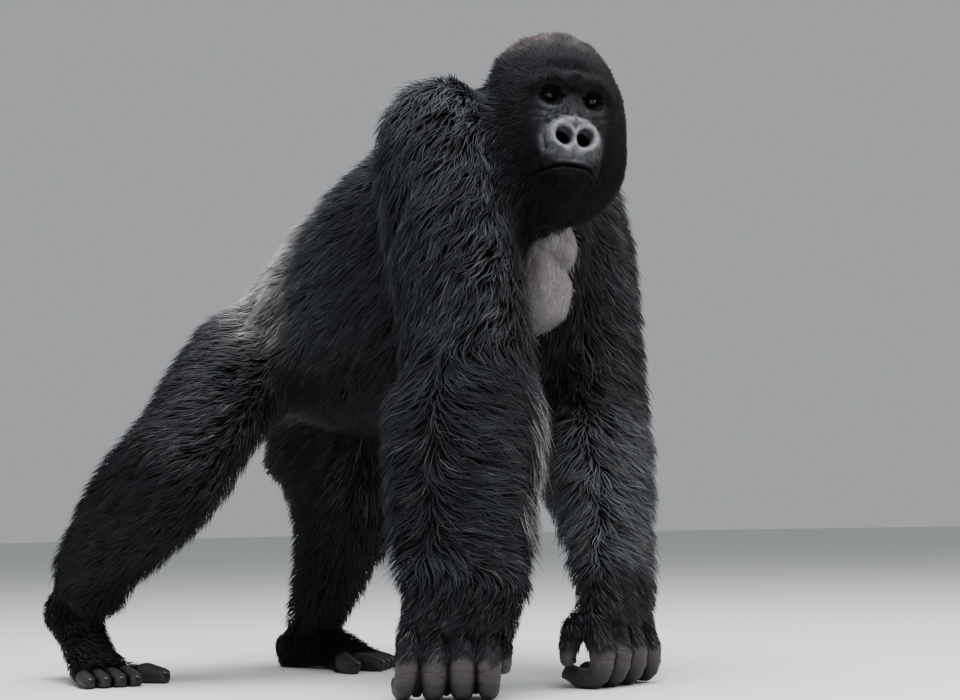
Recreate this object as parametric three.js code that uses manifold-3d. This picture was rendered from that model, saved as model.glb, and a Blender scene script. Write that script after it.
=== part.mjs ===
// A life-size still model of a silverback mountain gorilla, standing on its knuckles and feet
// with its head turned to its right. Millimetres, +Z up, the animal faces -Y, its right side is at -X,
// and the floor is at Z = 0. The origin ends up under the middle of its bounding box.
//
// Every form is a closed tube whose section changes along a bone. The forms are joined or cut where
// they meet, and parted into the pieces a person would name, with thin gaps between them.
import * as THREE from 'three';
import { mergeVertices } from 'three/addons/utils/BufferGeometryUtils.js';
import Module from 'manifold-3d';

const wasm = await Module();
wasm.setup();

// ---------------------------------------------------------------- driving sizes

const GAP = 0.3; // clear space left at every cut between two pieces

// Joint centres of the stance. Out is away from the middle of the body.
const LIMBS = {
  right: {
    out: new THREE.Vector3(-1, 0, 0),
    shoulder: [-206, -270, 985],
    elbow: [-225, -340, 583],
    wrist: [-246, -331, 217],
    knuckles: [-272, -326, 92],
    dorsal: -48, // degrees the back of the hand turns from straight ahead
    cuff: 34, // how far the long hair of the wrist stands out on its inner side
    hip: [-118, 285, 690],
    rear: [130, 130, 146, 112], // how far hip, knee, calf and ankle reach behind the bones
    front: [138, 138, 108, 78], // how far thigh, knee, calf and ankle reach ahead of them
    inner: [106, 98, 90], // how far thigh, knee and calf reach towards the other leg
    knee: [-322, 302, 432],
    ankle: [-334, 556, 190],
    heel: [-338, 662, 150],
    arch: [-352, 572, 100],
    ball: [-376, 486, 31],
    toes: -15, // degrees the toes turn from straight ahead
  },
  left: {
    out: new THREE.Vector3(1, 0, 0),
    shoulder: [194, -266, 915],
    elbow: [222, -292, 500],
    wrist: [92, -425, 215],
    knuckles: [84, -440, 92],
    dorsal: -6,
    cuff: 0,
    hip: [118, 280, 700],
    rear: [190, 262, 114, 50],
    front: [150, 128, 98, 88],
    inner: [124, 124, 90],
    knee: [122, 248, 372],
    ankle: [107, 376, 100],
    heel: [100, 442, 35],
    arch: [108, 349, 46],
    ball: [122, 266, 31],
    toes: 10,
  },
};

const HEAD = {
  at: [-69, -436, 1050],
  yaw: -38, // degrees the face turns from straight ahead, negative to its right
  pitch: 2, // degrees the face tips down
  roll: 6.5, // degrees the head leans to its left
};
const EYE = { radius: 14, spread: 39, forward: 84, up: 0 };
const EAR = { out: 121, forward: -4, up: 16, height: 50, width: 34, depth: 22 };

const FINGER = { radius: 24 };
const FINGERS = [ // outward of the middle of the hand, share of the radius, splay
  [-66, 0.98, -4],
  [-22, 1.05, -2],
  [22, 1.02, 6],
  [64, 0.88, 20],
];
const TOE = { spacing: 27, radius: 15, length: 62 };

// ---------------------------------------------------------------- making solids

const v3 = (p) => new THREE.Vector3(...p);
const UP = new THREE.Vector3(0, 0, 1);
const AHEAD = new THREE.Vector3(0, -1, 0);

// A closed mesh as a solid, turned outward if its faces point in.
function solid(geometry) {
  geometry.deleteAttribute('normal');
  geometry.deleteAttribute('uv');
  const merged = mergeVertices(geometry, 1e-3);
  const triVerts = new Uint32Array(merged.index.array);
  const build = () =>
    new wasm.Manifold(
      new wasm.Mesh({
        numProp: 3,
        vertProperties: merged.attributes.position.array,
        triVerts,
      }),
    );
  const made = build();
  if (made.volume() > 0) return made;
  triVerts.reverse();
  return build();
}

// A solid as a geometry.
function geometryOf(made) {
  const { numProp, vertProperties, triVerts } = made.getMesh();
  const points = [];
  for (let i = 0; i < vertProperties.length; i += numProp)
    points.push(new THREE.Vector3().fromArray(vertProperties, i));
  const geometry = new THREE.BufferGeometry().setFromPoints(points);
  geometry.setIndex(Array.from(triVerts));
  return geometry;
}

// A tube along a smooth path. Each row is [t, x, y, z, out, in, front, back]: where the section is,
// and how far it reaches from its centre to its four sides. `side` is the direction of "out" and
// `ahead` that of "front"; a `twist` turns "out" to a second direction by the tube's far end. The
// ends close in domes, whose lengths are shares of t.
function tube(rows, options) {
  const { rings, sides, side, twist = side, ahead = AHEAD } = options;
  const { domes = [0.1, 0.1], square = 2, grow = 0, shape } = options;
  const section = new THREE.CubicInterpolant(
    rows.map((r) => r[0]),
    rows.flatMap((r) => r.slice(1)),
    7,
  );
  const at = (t) => Array.from(section.evaluate(t));
  const centreAt = (t) => v3(at(Math.min(Math.max(t, 0), 1)).slice(0, 3));
  const power = (c) => Math.sign(c) * Math.abs(c) ** (2 / square);
  const points = [];
  for (let i = 0; i <= rings; i++) {
    // Rings crowd towards both ends, where the domes are.
    const t = 0.5 - 0.5 * Math.cos((Math.PI * (i + 0.5)) / (rings + 1));
    const [, , , out, inner, front, back] = at(t);
    const centre = centreAt(t);
    const tangent = centreAt(t + 1e-3).sub(centreAt(t - 1e-3)).normalize();
    const u = side.clone().lerp(twist, t);
    u.addScaledVector(tangent, -u.dot(tangent)).normalize();
    const v = new THREE.Vector3().crossVectors(tangent, u);
    if (v.dot(ahead) < 0) v.negate();
    const near = Math.min(t / domes[0], (1 - t) / domes[1], 1);
    const scale = Math.sqrt(1 - (1 - near) ** 2);
    for (let k = 0; k < sides; k++) {
      const angle = (2 * Math.PI * k) / sides;
      const [c, s] = [power(Math.cos(angle)), power(Math.sin(angle))];
      const reachU = (c > 0 ? out : inner) * scale + grow;
      const reachV = (s > 0 ? front : back) * scale + grow;
      points.push(centre.clone().addScaledVector(u, c * reachU).addScaledVector(v, s * reachV));
    }
  }
  const index = [];
  for (let i = 0; i < rings; i++)
    for (let k = 0; k < sides; k++) {
      const next = (k + 1) % sides;
      const [a, b] = [i * sides + k, i * sides + next];
      index.push(a, b, b + sides, a, b + sides, a + sides);
    }
  points.push(centreAt(0), centreAt(1));
  const last = rings * sides;
  for (let k = 0; k < sides; k++) {
    const next = (k + 1) % sides;
    index.push(points.length - 2, next, k);
    index.push(points.length - 1, last + k, last + next);
  }
  const geometry = new THREE.BufferGeometry().setFromPoints(shape ? points.map(shape) : points);
  geometry.setIndex(index);
  return solid(geometry);
}

// An ellipsoid of the given half-sizes.
function egg(radii, at, turn = new THREE.Matrix4(), [across, around] = [16, 10]) {
  const geometry = new THREE.SphereGeometry(1, across, around);
  geometry.scale(...radii).translate(...at).applyMatrix4(turn);
  return solid(geometry);
}

// What lies behind the plane through `point`, looking along `normal`.
function behind(made, point, normal, gap = GAP / 2) {
  const size = 4000;
  const box = new THREE.BoxGeometry(size, size, size).translate(0, 0, size / 2 + gap * -1);
  const turn = new THREE.Quaternion().setFromUnitVectors(UP, normal.clone().normalize());
  box.applyQuaternion(turn).translate(...point.toArray());
  return made.subtract(solid(box));
}

const ahead = (made, point, normal) => behind(made, point, normal.clone().negate());

// The largest of the bodies that a cut leaves.
function largest(made) {
  return made.decompose().reduce((a, b) => (a.volume() > b.volume() ? a : b));
}

// A point at a share of the way between two others.
const between = (a, b, share) => v3(a).lerp(v3(b), share).toArray();

// ---------------------------------------------------------------- limbs

// Directions at a hand or foot: `front` is the way the back of the hand, or the toes, point, and
// `outer` is the side of the little finger or little toe.
function bearings(limb, degrees) {
  const turn = new THREE.Matrix4().makeRotationZ(THREE.MathUtils.degToRad(degrees));
  const front = AHEAD.clone().transformDirection(turn);
  return { front, outer: limb.out.clone().transformDirection(turn) };
}

// A way of giving points by their distances outward and forward of a spot, at a height.
const around = ([x, y], { front, outer }) => (a, f, z) =>
  new THREE.Vector3(x, y, z).addScaledVector(outer, a).addScaledVector(front, f).toArray();

// The whole arm, from above the shoulder to inside the hand.
function armForm(limb, grow = 0) {
  const { shoulder, elbow, wrist, knuckles, out, cuff } = limb;
  const top = [shoulder[0] * 0.86, shoulder[1] + 26, shoulder[2] + 142];
  return tube(
    [
      [0.0, ...top, 88, 86, 96, 104],
      [0.15, ...shoulder, 116, 105, 130, 134],
      [0.3, ...between(shoulder, elbow, 0.45), 116, 112, 136, 126],
      [0.46, ...elbow, 112, 116 + cuff * 0.3, 126, 118],
      [0.6, ...between(elbow, wrist, 0.3), 122, 132 + cuff * 0.3, 112, 114],
      [0.76, ...between(elbow, wrist, 0.72), 106, 110 + cuff * 0.5, 88, 90],
      [0.88, ...wrist, 96, 92 + cuff, 62, 66],
      [1.0, ...knuckles, 86, 84 + cuff, 46, 44],
    ],
    {
      rings: 16, sides: 14, side: out, twist: bearings(limb, limb.dorsal).outer,
      domes: [0.13, 0.05], square: 2.2, grow,
    },
  );
}

// The whole leg, from inside the hips to inside the foot.
function legForm(limb, grow = 0) {
  const { hip, knee, ankle, arch, out } = limb;
  const [seat, crook, calf, tendon] = limb.rear;
  const [lap, cap, shin, instep] = limb.front;
  const [thighIn, kneeIn, calfIn] = limb.inner;
  const top = [hip[0] * 0.8, hip[1] - 10, hip[2] + 88];
  return tube(
    [
      [0.0, ...top, 80, 70, 90, 100],
      [0.14, ...hip, 112, 90, 125, seat],
      [0.32, ...between(hip, knee, 0.5), 120, thighIn, lap, (seat + crook) / 2],
      [0.5, ...knee, 108, kneeIn, cap, crook],
      [0.66, ...between(knee, ankle, 0.42), 100, calfIn, shin, calf],
      [0.84, ...between(knee, ankle, 0.92), 80, 72, instep, tendon],
      [1.0, ...between(ankle, arch, 0.75), 58, 52, 56, 58],
    ],
    { rings: 16, sides: 14, side: out, domes: [0.16, 0.08], square: 2.2, grow },
  );
}

// Knuckle-walking hand: the palm, four fingers bent under, and the thumb beside them.
function handForm(limb) {
  const { wrist, knuckles, cuff } = limb;
  const sense = bearings(limb, limb.dorsal);
  const place = around(knuckles, sense);
  const options = { side: sense.outer, ahead: sense.front };
  let hand = tube(
    [
      [0, ...between(wrist, knuckles, -0.25), 97, 93 + cuff, 64, 68],
      [0.3, ...between(wrist, knuckles, 0.1), 96, 93 + cuff, 60, 62],
      [0.65, ...between(wrist, knuckles, 0.6), 96, 94 + cuff * 0.8, 46, 44],
      [0.9, ...between(wrist, knuckles, 0.86), 93, 91 + cuff * 0.4, 36, 34],
      [1, ...knuckles, 84, 82, 26, 26],
    ],
    { ...options, rings: 5, sides: 12, domes: [0.02, 0.16], square: 2.6 },
  );
  FINGERS.forEach(([a, size, splay], i) => {
    const r = FINGER.radius * size;
    const row = (t, f, z, k) => [t, ...place(a + splay * t, f, z), r * k, r * k, r * k, r * k];
    const finger = tube(
      [
        row(0, -4, 118, 0.96),
        row(0.26, 10, 80, 0.94),
        row(0.52, 16, 38, 1.02),
        row(0.66, -2, 20, 0.98),
        row(0.84, -38, 17, 0.9),
        row(1, -64, 30, 0.74),
      ],
      { ...options, rings: 6, sides: 7, domes: [0.1, 0.16] },
    );
    hand = hand.add(finger);
  });
  const thumb = tube(
    [
      [0, ...place(-60, -18, 158), 26, 28, 26, 26],
      [0.35, ...place(-86, -32, 118), 21, 22, 23, 23],
      [0.7, ...place(-97, -38, 80), 17, 19, 20, 20],
      [1, ...place(-96, -42, 46), 13, 14, 15, 15],
    ],
    { ...options, rings: 4, sides: 7, domes: [0.1, 0.16] },
  );
  return hand.add(thumb);
}

// Foot: heel to ball, four toes, and the big toe set apart on the inner side.
function footForm(limb) {
  const { heel, arch, ball } = limb;
  const sense = bearings(limb, limb.toes);
  const place = around(ball, sense);
  const options = { side: sense.outer, ahead: UP };
  const heelEnd = v3(heel).addScaledVector(v3(heel).sub(v3(arch)).normalize(), 22).toArray();
  let foot = tube(
    [
      [0, ...heelEnd, 34, 34, 40, 36],
      [0.2, ...heel, 42, 42, 50, 42],
      [0.5, ...arch, 48, 48, 52, 42],
      [0.8, ...ball, 58, 56, 38, 38],
      [1, ...place(2, 34, 20), 56, 50, 26, 26],
    ],
    { ...options, rings: 6, sides: 11, domes: [0.16, 0.14], square: 2.5 },
  );
  for (let i = 0; i < 4; i++) {
    const a = (i - 1.4) * TOE.spacing;
    const r = TOE.radius * (1.06 - 0.05 * i);
    const length = TOE.length * (1.1 - 0.1 * i);
    const row = (t, f, z, k) => [t, ...place(a * (1 + 0.08 * t), f, z), r * k, r * k, r * k, r * k];
    const toe = tube(
      [
        row(0, 10, 24, 1.05),
        row(0.5, 24 + length * 0.5, 21, 1.02),
        row(0.8, 24 + length * 0.85, 13, 0.98),
        row(1, 24 + length, 11, 0.85),
      ],
      { ...options, rings: 3, sides: 6, domes: [0.1, 0.2], square: 2.3 },
    );
    foot = foot.add(toe);
  }
  const big = tube(
    [
      [0, ...between(arch, place(-30, 0, 30), 0.5), 26, 26, 26, 26],
      [0.35, ...place(-60, 6, 25), 24, 24, 22, 24],
      [0.7, ...place(-90, 42, 18), 21, 21, 19, 22],
      [1, ...place(-108, 74, 12), 17, 17, 13, 15],
    ],
    { ...options, rings: 4, sides: 7, domes: [0.1, 0.14], square: 2.3 },
  );
  return foot.add(big);
}

// ---------------------------------------------------------------- trunk, neck and head

// Soft pushes on the chest, each [x, z, half-width, half-height, how far forward], on both sides.
const CHEST = [
  [72, 900, 62, 70, 30], // breast
  [0, 900, 22, 90, -14], // furrow
  [58, 770, 60, 50, 14], // below the breast
];

// The two breast muscles swell on the front of the chest, with a furrow between them.
function pushChest(p) {
  const share = THREE.MathUtils.smoothstep(-p.y, 250, 340);
  for (const [x, z, wide, high, push] of CHEST) {
    const dx = (Math.abs(p.x) - x) / wide;
    const dz = (p.z - z) / high;
    p.y -= share * push * Math.exp(-(dx * dx + dz * dz));
  }
  return p;
}

function trunkForm(grow = 0) {
  return tube(
    [
      [0.0, 0, 410, 685, 110, 110, 75, 85],
      [0.1, 0, 350, 692, 178, 178, 108, 125],
      [0.24, 0, 255, 700, 212, 212, 132, 185],
      [0.4, 0, 120, 735, 246, 246, 190, 270],
      [0.54, 0, -20, 785, 266, 266, 228, 292],
      [0.68, 0, -150, 830, 264, 264, 250, 255],
      [0.82, 0, -270, 865, 232, 232, 236, 212],
      [0.92, -4, -345, 885, 180, 180, 186, 178],
      [1.0, -6, -398, 890, 110, 110, 120, 120],
    ],
    {
      rings: 13, sides: 16, side: LIMBS.left.out, ahead: UP, domes: [0.14, 0.14], square: 2.25, grow,
      shape: pushChest,
    },
  );
}

// The muscle that joins the shoulders behind the neck.
function yokeForm(grow = 0) {
  const { left, right } = LIMBS;
  return tube(
    [
      [0, right.shoulder[0] * 0.9, -236, 1000, 118, 118, 118, 118],
      [0.5, 0, -215, 975, 135, 135, 140, 140],
      [1, left.shoulder[0] * 0.9, -228, 925, 118, 118, 118, 118],
    ],
    { rings: 7, sides: 12, side: UP, domes: [0.12, 0.12], grow },
  );
}

const headMatrix = new THREE.Matrix4().compose(
  v3(HEAD.at),
  new THREE.Quaternion().setFromEuler(
    new THREE.Euler(
      THREE.MathUtils.degToRad(HEAD.pitch),
      THREE.MathUtils.degToRad(HEAD.roll),
      THREE.MathUtils.degToRad(HEAD.yaw),
      'ZXY',
    ),
  ),
  new THREE.Vector3(1, 1, 1),
);

// Soft pushes on the face, in the head's own frame, where the face looks to -Y. Each is
// [x, z, half-width, half-height, how far forward], and acts on both sides of the face.
const FACE = [
  [34, 34, 42, 24, 16], // brow ridge
  [0, 0, 12, 30, 4], // bridge of the nose
  [24, -78, 20, 18, 10], // wing of the nose
  [0, -116, 48, 16, 8], // upper lip
  [0, -138, 56, 9, -5], // mouth
  [0, -158, 42, 14, 8], // lower lip
];

function pushFace(p) {
  if (p.y > -40) return p;
  const share = THREE.MathUtils.smoothstep(-p.y, 50, 85);
  for (const [x, z, wide, high, push] of FACE) {
    const dx = (Math.abs(p.x) - x) / wide;
    const dz = (p.z - z) / high;
    p.y -= share * push * Math.exp(-(dx * dx + dz * dz));
  }
  return p;
}

const CHEEK_LEVEL = -85; // height of the widest part of the head below the eyes

function headForm(grow = 0) {
  const row = (t, y, wide, top, bottom) => [t, 0, y, CHEEK_LEVEL, wide, wide, top - CHEEK_LEVEL, CHEEK_LEVEL - bottom];
  return tube(
    [
      row(0, 154, 88, 76, -120),
      row(0.14, 114, 118, 124, -150),
      row(0.28, 66, 136, 150, -190),
      row(0.42, 20, 143, 155, -218),
      row(0.55, -26, 140, 139, -228),
      row(0.66, -62, 122, 106, -224),
      row(0.74, -88, 96, 68, -212),
      row(0.81, -106, 76, 14, -202),
      row(0.88, -124, 62, -28, -190),
      row(0.95, -142, 50, -54, -174),
      row(1, -152, 34, -68, -154),
    ],
    {
      rings: 18, sides: 20, side: LIMBS.left.out, ahead: UP, domes: [0.12, 0.06], square: 2.1, grow,
      shape: pushFace,
    },
  ).transform(headMatrix.elements);
}

function neckForm(grow = 0) {
  const [x, y, z] = HEAD.at;
  return tube(
    [
      [0, 0, -150, 930, 150, 150, 140, 150],
      [0.35, -10, -280, 965, 160, 160, 150, 150],
      [0.7, x * 0.6, y + 70, z - 25, 138, 138, 128, 150],
      [1, x, y, z, 110, 110, 100, 110],
    ],
    { rings: 6, sides: 12, side: LIMBS.left.out, ahead: UP, domes: [0.1, 0.1], grow },
  );
}

// Ear: a shallow cup on the side of the head.
function earForm(sign, grow = 0) {
  const at = [sign * EAR.out, -EAR.forward, EAR.up];
  const half = [EAR.depth / 2 + grow, EAR.width / 2 + grow, EAR.height / 2 + grow];
  const shell = egg(half, at, headMatrix, [8, 7]);
  if (grow) return shell;
  const cup = egg([half[0] * 0.9, half[1] * 0.7, half[2] * 0.7], [at[0] + sign * half[0] * 0.8, at[1] - 3, at[2] + 2], headMatrix, [7, 5]);
  return shell.subtract(cup);
}

// The hollows of the face: two eye sockets and two nostrils.
const hollows = [-1, 1].flatMap((sign) => [
  egg([25, 15, 17], [sign * EYE.spread, -104, EYE.up], headMatrix, [8, 6]),
  egg([12, 14, 10], [sign * 17, -160, -82], headMatrix, [7, 5]),
]);

const eyeForm = (sign, grow = 0) =>
  egg(Array(3).fill(EYE.radius + grow), [sign * EYE.spread, -EYE.forward, EYE.up], headMatrix, [10, 8]);

// ---------------------------------------------------------------- parting the animal

const pieces = new Map();
const floor = [new THREE.Vector3(), new THREE.Vector3(0, 0, -1)];
const sides = Object.entries(LIMBS);

const planeAt = (before, joint, after) =>
  [v3(joint), v3(after).sub(v3(joint)).normalize().add(v3(joint).sub(v3(before)).normalize()).normalize()];

for (const [name, limb] of sides) {
  const arm = armForm(limb);
  const elbow = planeAt(limb.shoulder, limb.elbow, limb.wrist);
  const wrist = planeAt(limb.elbow, limb.wrist, limb.knuckles);
  pieces.set(`upper_arm_${name}`, largest(behind(arm, ...elbow)));
  pieces.set(`forearm_${name}`, largest(behind(ahead(arm, ...elbow), ...wrist)));
  const hand = ahead(handForm(limb), ...wrist);
  pieces.set(`hand_${name}`, largest(behind(hand, ...floor, 0)));

  const leg = legForm(limb);
  const knee = planeAt(limb.hip, limb.knee, limb.ankle);
  const ankle = [v3(limb.ankle), v3(limb.ankle).sub(v3(limb.knee)).normalize()];
  pieces.set(`thigh_${name}`, largest(behind(leg, ...knee)));
  pieces.set(`shank_${name}`, largest(behind(ahead(leg, ...knee), ...ankle)));
  // The heel and toes may lie beyond the ankle's cut, so the foot is cut by the shank itself.
  const shank = behind(legForm(limb, GAP), ...ankle);
  const foot = footForm(limb).add(ahead(leg, ...ankle)).subtract(shank);
  pieces.set(`foot_${name}`, largest(behind(foot, ...floor, 0)));
}

const arms = sides.map(([, limb]) => armForm(limb, GAP));
const legs = sides.map(([, limb]) => legForm(limb, GAP));
const without = (made, ...others) => largest(others.reduce((a, b) => a.subtract(b), made));

// Trunk and yoke. Grown, they also reach ahead, where the trunk's front end is flat.
const bodyForm = (grow = 0) => {
  const body = trunkForm(grow).add(yokeForm(grow));
  return grow ? body.add(body.translate([0, -grow, 0])) : body;
};
pieces.set('trunk', without(bodyForm(), ...arms, ...legs, headForm(GAP)));
pieces.set('neck', without(neckForm(), bodyForm(GAP), ...arms, headForm(GAP)));
pieces.set(
  'head',
  without(headForm(), ...arms, ...hollows, ...[-1, 1].flatMap((s) => [earForm(s, GAP), eyeForm(s, GAP)])),
);
for (const [sign, name] of [[-1, 'right'], [1, 'left']]) {
  pieces.set(`ear_${name}`, without(earForm(sign), ...arms));
  pieces.set(`eye_${name}`, eyeForm(sign));
}

// ---------------------------------------------------------------- the scene graph

const coat = new THREE.MeshStandardMaterial({ color: 0x16171a, roughness: 0.75, metalness: 0 });
const skin = new THREE.MeshStandardMaterial({ color: 0x3a3535, roughness: 0.55, metalness: 0 });
const eye = new THREE.MeshStandardMaterial({ color: 0x2a1608, roughness: 0.08, metalness: 0 });
const materialOf = (name) => {
  if (name.startsWith('eye')) return eye;
  return /^(hand|foot|ear)/.test(name) ? skin : coat;
};

const gorilla = new THREE.Group();
for (const [name, made] of pieces) {
  const mesh = new THREE.Mesh(geometryOf(made), materialOf(name));
  mesh.name = name;
  gorilla.add(mesh);
}
const box = new THREE.Box3().setFromObject(gorilla);
const middle = box.getCenter(new THREE.Vector3());
for (const mesh of gorilla.children) mesh.position.set(-middle.x, -middle.y, 0);

export default gorilla;
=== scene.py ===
"""Looks of a life-size still mountain gorilla: skin, eyes, nails, coat, light and camera.

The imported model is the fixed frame. One skin stands for the nodes of flesh and lies inside them by
the depth of the coat, and the coat is solid locks of hair that follow its lie.
"""

import logging
import math
from dataclasses import dataclass, replace
from enum import Enum
from typing import Dict, Iterable, List, Optional, Sequence, Tuple

import bmesh
import bpy
import numpy as np
from mathutils import Matrix, Vector
from mathutils.bvhtree import BVHTree
from mathutils.kdtree import KDTree


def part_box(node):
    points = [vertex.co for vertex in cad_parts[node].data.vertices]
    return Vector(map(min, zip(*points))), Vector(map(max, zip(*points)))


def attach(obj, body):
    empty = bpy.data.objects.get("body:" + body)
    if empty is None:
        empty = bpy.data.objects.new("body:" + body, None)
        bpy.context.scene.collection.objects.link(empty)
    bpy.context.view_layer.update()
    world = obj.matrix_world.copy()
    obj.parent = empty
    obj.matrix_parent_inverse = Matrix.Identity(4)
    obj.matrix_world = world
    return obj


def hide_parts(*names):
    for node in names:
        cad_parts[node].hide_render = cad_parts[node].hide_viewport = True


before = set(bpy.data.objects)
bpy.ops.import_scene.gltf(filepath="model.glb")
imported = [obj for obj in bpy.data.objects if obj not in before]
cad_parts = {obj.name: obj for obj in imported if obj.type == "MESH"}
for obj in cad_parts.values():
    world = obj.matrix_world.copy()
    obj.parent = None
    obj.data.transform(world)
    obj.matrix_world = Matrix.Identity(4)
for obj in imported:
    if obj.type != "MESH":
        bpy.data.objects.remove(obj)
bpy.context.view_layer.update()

logging.basicConfig(level=logging.INFO, format="%(relativeCreated)6d ms %(message)s")
LOG = logging.getLogger("gorilla")

Array = np.ndarray
Material = bpy.types.Material
Mesh = bpy.types.Mesh
Node = bpy.types.Node
Object = bpy.types.Object
Socket = bpy.types.NodeSocket
Tree = bpy.types.NodeTree
Pair = Tuple[float, float]
Triple = Tuple[float, float, float]
Face = Tuple[int, ...]
MM = 0.001  # one millimetre in metres


# ---------- small helpers


def linear(hex_colour: str) -> Triple:
    """Turns an sRGB hex colour into linear light."""
    parts = [int(hex_colour[i : i + 2], 16) / 255 for i in (1, 3, 5)]
    return tuple(c / 12.92 if c <= 0.04045 else ((c + 0.055) / 1.055) ** 2.4 for c in parts)


def ramp(value: Array, low: float, high: float) -> Array:
    """Rises smoothly from 0 at low to 1 at high, and falls when high is the smaller."""
    t = np.clip((value - low) / (high - low), 0, 1)
    return t * t * (3 - 2 * t)


def bell(value: Array, middle: float, width: float) -> Array:
    """Gives 1 at the middle and falls off to both sides over the width."""
    return np.exp(-(((value - middle) / width) ** 2))


def mound(x: Array, z: Array, at: Pair, half: Pair) -> Array:
    """Gives 1 at a place and falls off round it over the two half-widths."""
    return np.exp(-(((x - at[0]) / half[0]) ** 2 + ((z - at[1]) / half[1]) ** 2))


def to_segment(points: Array, a: Array, b: Array) -> Tuple[Array, Array]:
    """Gives how far points lie from a straight piece between two ends, and how far along it."""
    run = b - a
    t = np.clip(((points - a) @ run) / max(run @ run, 1e-6), 0, 1)
    return np.linalg.norm(points - a - t[:, None] * run, axis=1), t


def unit(vectors: Array) -> Array:
    """Scales a vector, or each row of vectors, to length one."""
    return vectors / np.maximum(np.linalg.norm(vectors, axis=-1, keepdims=True), 1e-9)


def along_surface(vectors: Array, normals: Array) -> Array:
    """Takes from each vector the part along its normal, and scales the rest to length one."""
    return unit(vectors - normals * np.sum(vectors * normals, axis=1, keepdims=True))


def ripple(points: Array, wavelength: float, seed: int, waves: int = 7) -> Array:
    """Gives smooth noise of about -1 to 1 from a few crossing waves.

    Args:
        points: places in metres, one a row.
        wavelength: mean length of the waves in metres.
        seed: seed of the waves' directions and phases.
        waves: how many waves cross.

    Returns:
        One value for each place.
    """
    rng = np.random.default_rng(seed)
    directions = unit(rng.normal(size=(waves, 3)))
    rates = 2 * np.pi / wavelength * rng.uniform(0.6, 1.6, waves)
    phases = rng.uniform(0, 2 * np.pi, waves)
    return np.sin(points @ (directions * rates[:, None]).T + phases).sum(axis=1) / math.sqrt(waves)


# ---------- the stance


def axes_of_head(yaw: float, pitch: float, roll: float) -> Array:
    """Gives the head's axes as columns, from its three turns in degrees."""
    turn = (
        Matrix.Rotation(math.radians(yaw), 3, "Z")
        @ Matrix.Rotation(math.radians(pitch), 3, "X")
        @ Matrix.Rotation(math.radians(roll), 3, "Y")
    )
    return np.array(turn)


# The two ends of each bone in millimetres, from an origin between the animal's feet.
BONES: Dict[str, Tuple[Triple, Triple]] = {
    "trunk": ((0, 410, 685), (0, -300, 880)),
    "neck": ((0, -150, 930), (-69, -436, 1050)),
    "head": ((-69, -300, 1000), (-69, -436, 1050)),
    "upper_arm_right": ((-206, -270, 985), (-225, -340, 583)),
    "forearm_right": ((-225, -340, 583), (-246, -331, 217)),
    "hand_right": ((-246, -331, 217), (-272, -326, 30)),
    "upper_arm_left": ((194, -266, 915), (222, -292, 500)),
    "forearm_left": ((222, -292, 500), (92, -425, 215)),
    "hand_left": ((92, -425, 215), (84, -440, 30)),
    "thigh_right": ((-118, 285, 690), (-322, 302, 432)),
    "shank_right": ((-322, 302, 432), (-334, 556, 190)),
    "foot_right": ((-338, 662, 150), (-376, 486, 31)),
    "thigh_left": ((118, 280, 700), (122, 248, 372)),
    "shank_left": ((122, 248, 372), (107, 376, 100)),
    "foot_left": ((100, 442, 35), (122, 266, 31)),
}


@dataclass
class Stance:
    """Where the head and the eyes are, and how the animal's origin lies to the model's own.

    The model's own origin is under the middle of its bounding box, so `shift` takes one to the
    other. It is found from where the eyes are.

    Args:
        head_at: the head's own origin, mm.
        head_turns: yaw, pitch and roll of the head, degrees.
        eye_at: the left eye from the head's own origin, mm.
    """

    head_at: Triple = (-69, -436, 1050)
    head_turns: Triple = (-38, 2, 6.5)
    eye_at: Triple = (39, -84, 0)

    def __post_init__(self) -> None:
        """Finds the head's axes and the shift from the eyes of the frame."""
        self.head_axes = axes_of_head(*self.head_turns)
        eyes = [sum(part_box(f"eye_{side}"), Vector()) / 2 for side in ("right", "left")]
        middle = np.array((eyes[0] + eyes[1]) / 2) / MM
        expected = np.array(self.head_at) + self.head_axes @ np.array((0, *self.eye_at[1:]))
        self.shift = (middle - expected) * (1, 1, 0)

    def place(self, point: Sequence[float]) -> Array:
        """Takes a point in millimetres to the model's frame in metres."""
        return (np.asarray(point, float) + self.shift) * MM

    def in_head(self, points: Array) -> Array:
        """Takes places in metres to the head's own frame in millimetres, its face to -Y."""
        return (points / MM - self.shift - self.head_at) @ self.head_axes

    def from_head(self, points: Array) -> Array:
        """Takes places in the head's own frame to the model's frame in metres."""
        return (np.asarray(points, float) @ self.head_axes.T + self.head_at + self.shift) * MM


STANCE = Stance()


# ---------- parts of the coat


@dataclass(frozen=True)
class Growth:
    """How the hair grows on one part of the body.

    Args:
        depth: how deep the coat stands there, mm.
        length: length of a lock, mm.
        width: width of a lock, mm.
        density: locks to a square metre.
        lie: the way the hair lies, before it is laid along the skin.
        joints: bends in a lock, one less than its rings.
        curl: sideways wave of a lock as a share of its length.
        unrest: how far the lie wanders, in degrees.
        gather: how far the tips of neighbours draw together, 0 to 1.
        velvet: how far the locks shine as one nap with the skin below, 0 to 1.
    """

    depth: float
    length: float
    width: float
    density: float
    lie: Triple
    joints: int = 2
    curl: float = 0.05
    unrest: float = 12
    gather: float = 0.4
    velvet: float = 0.25


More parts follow.
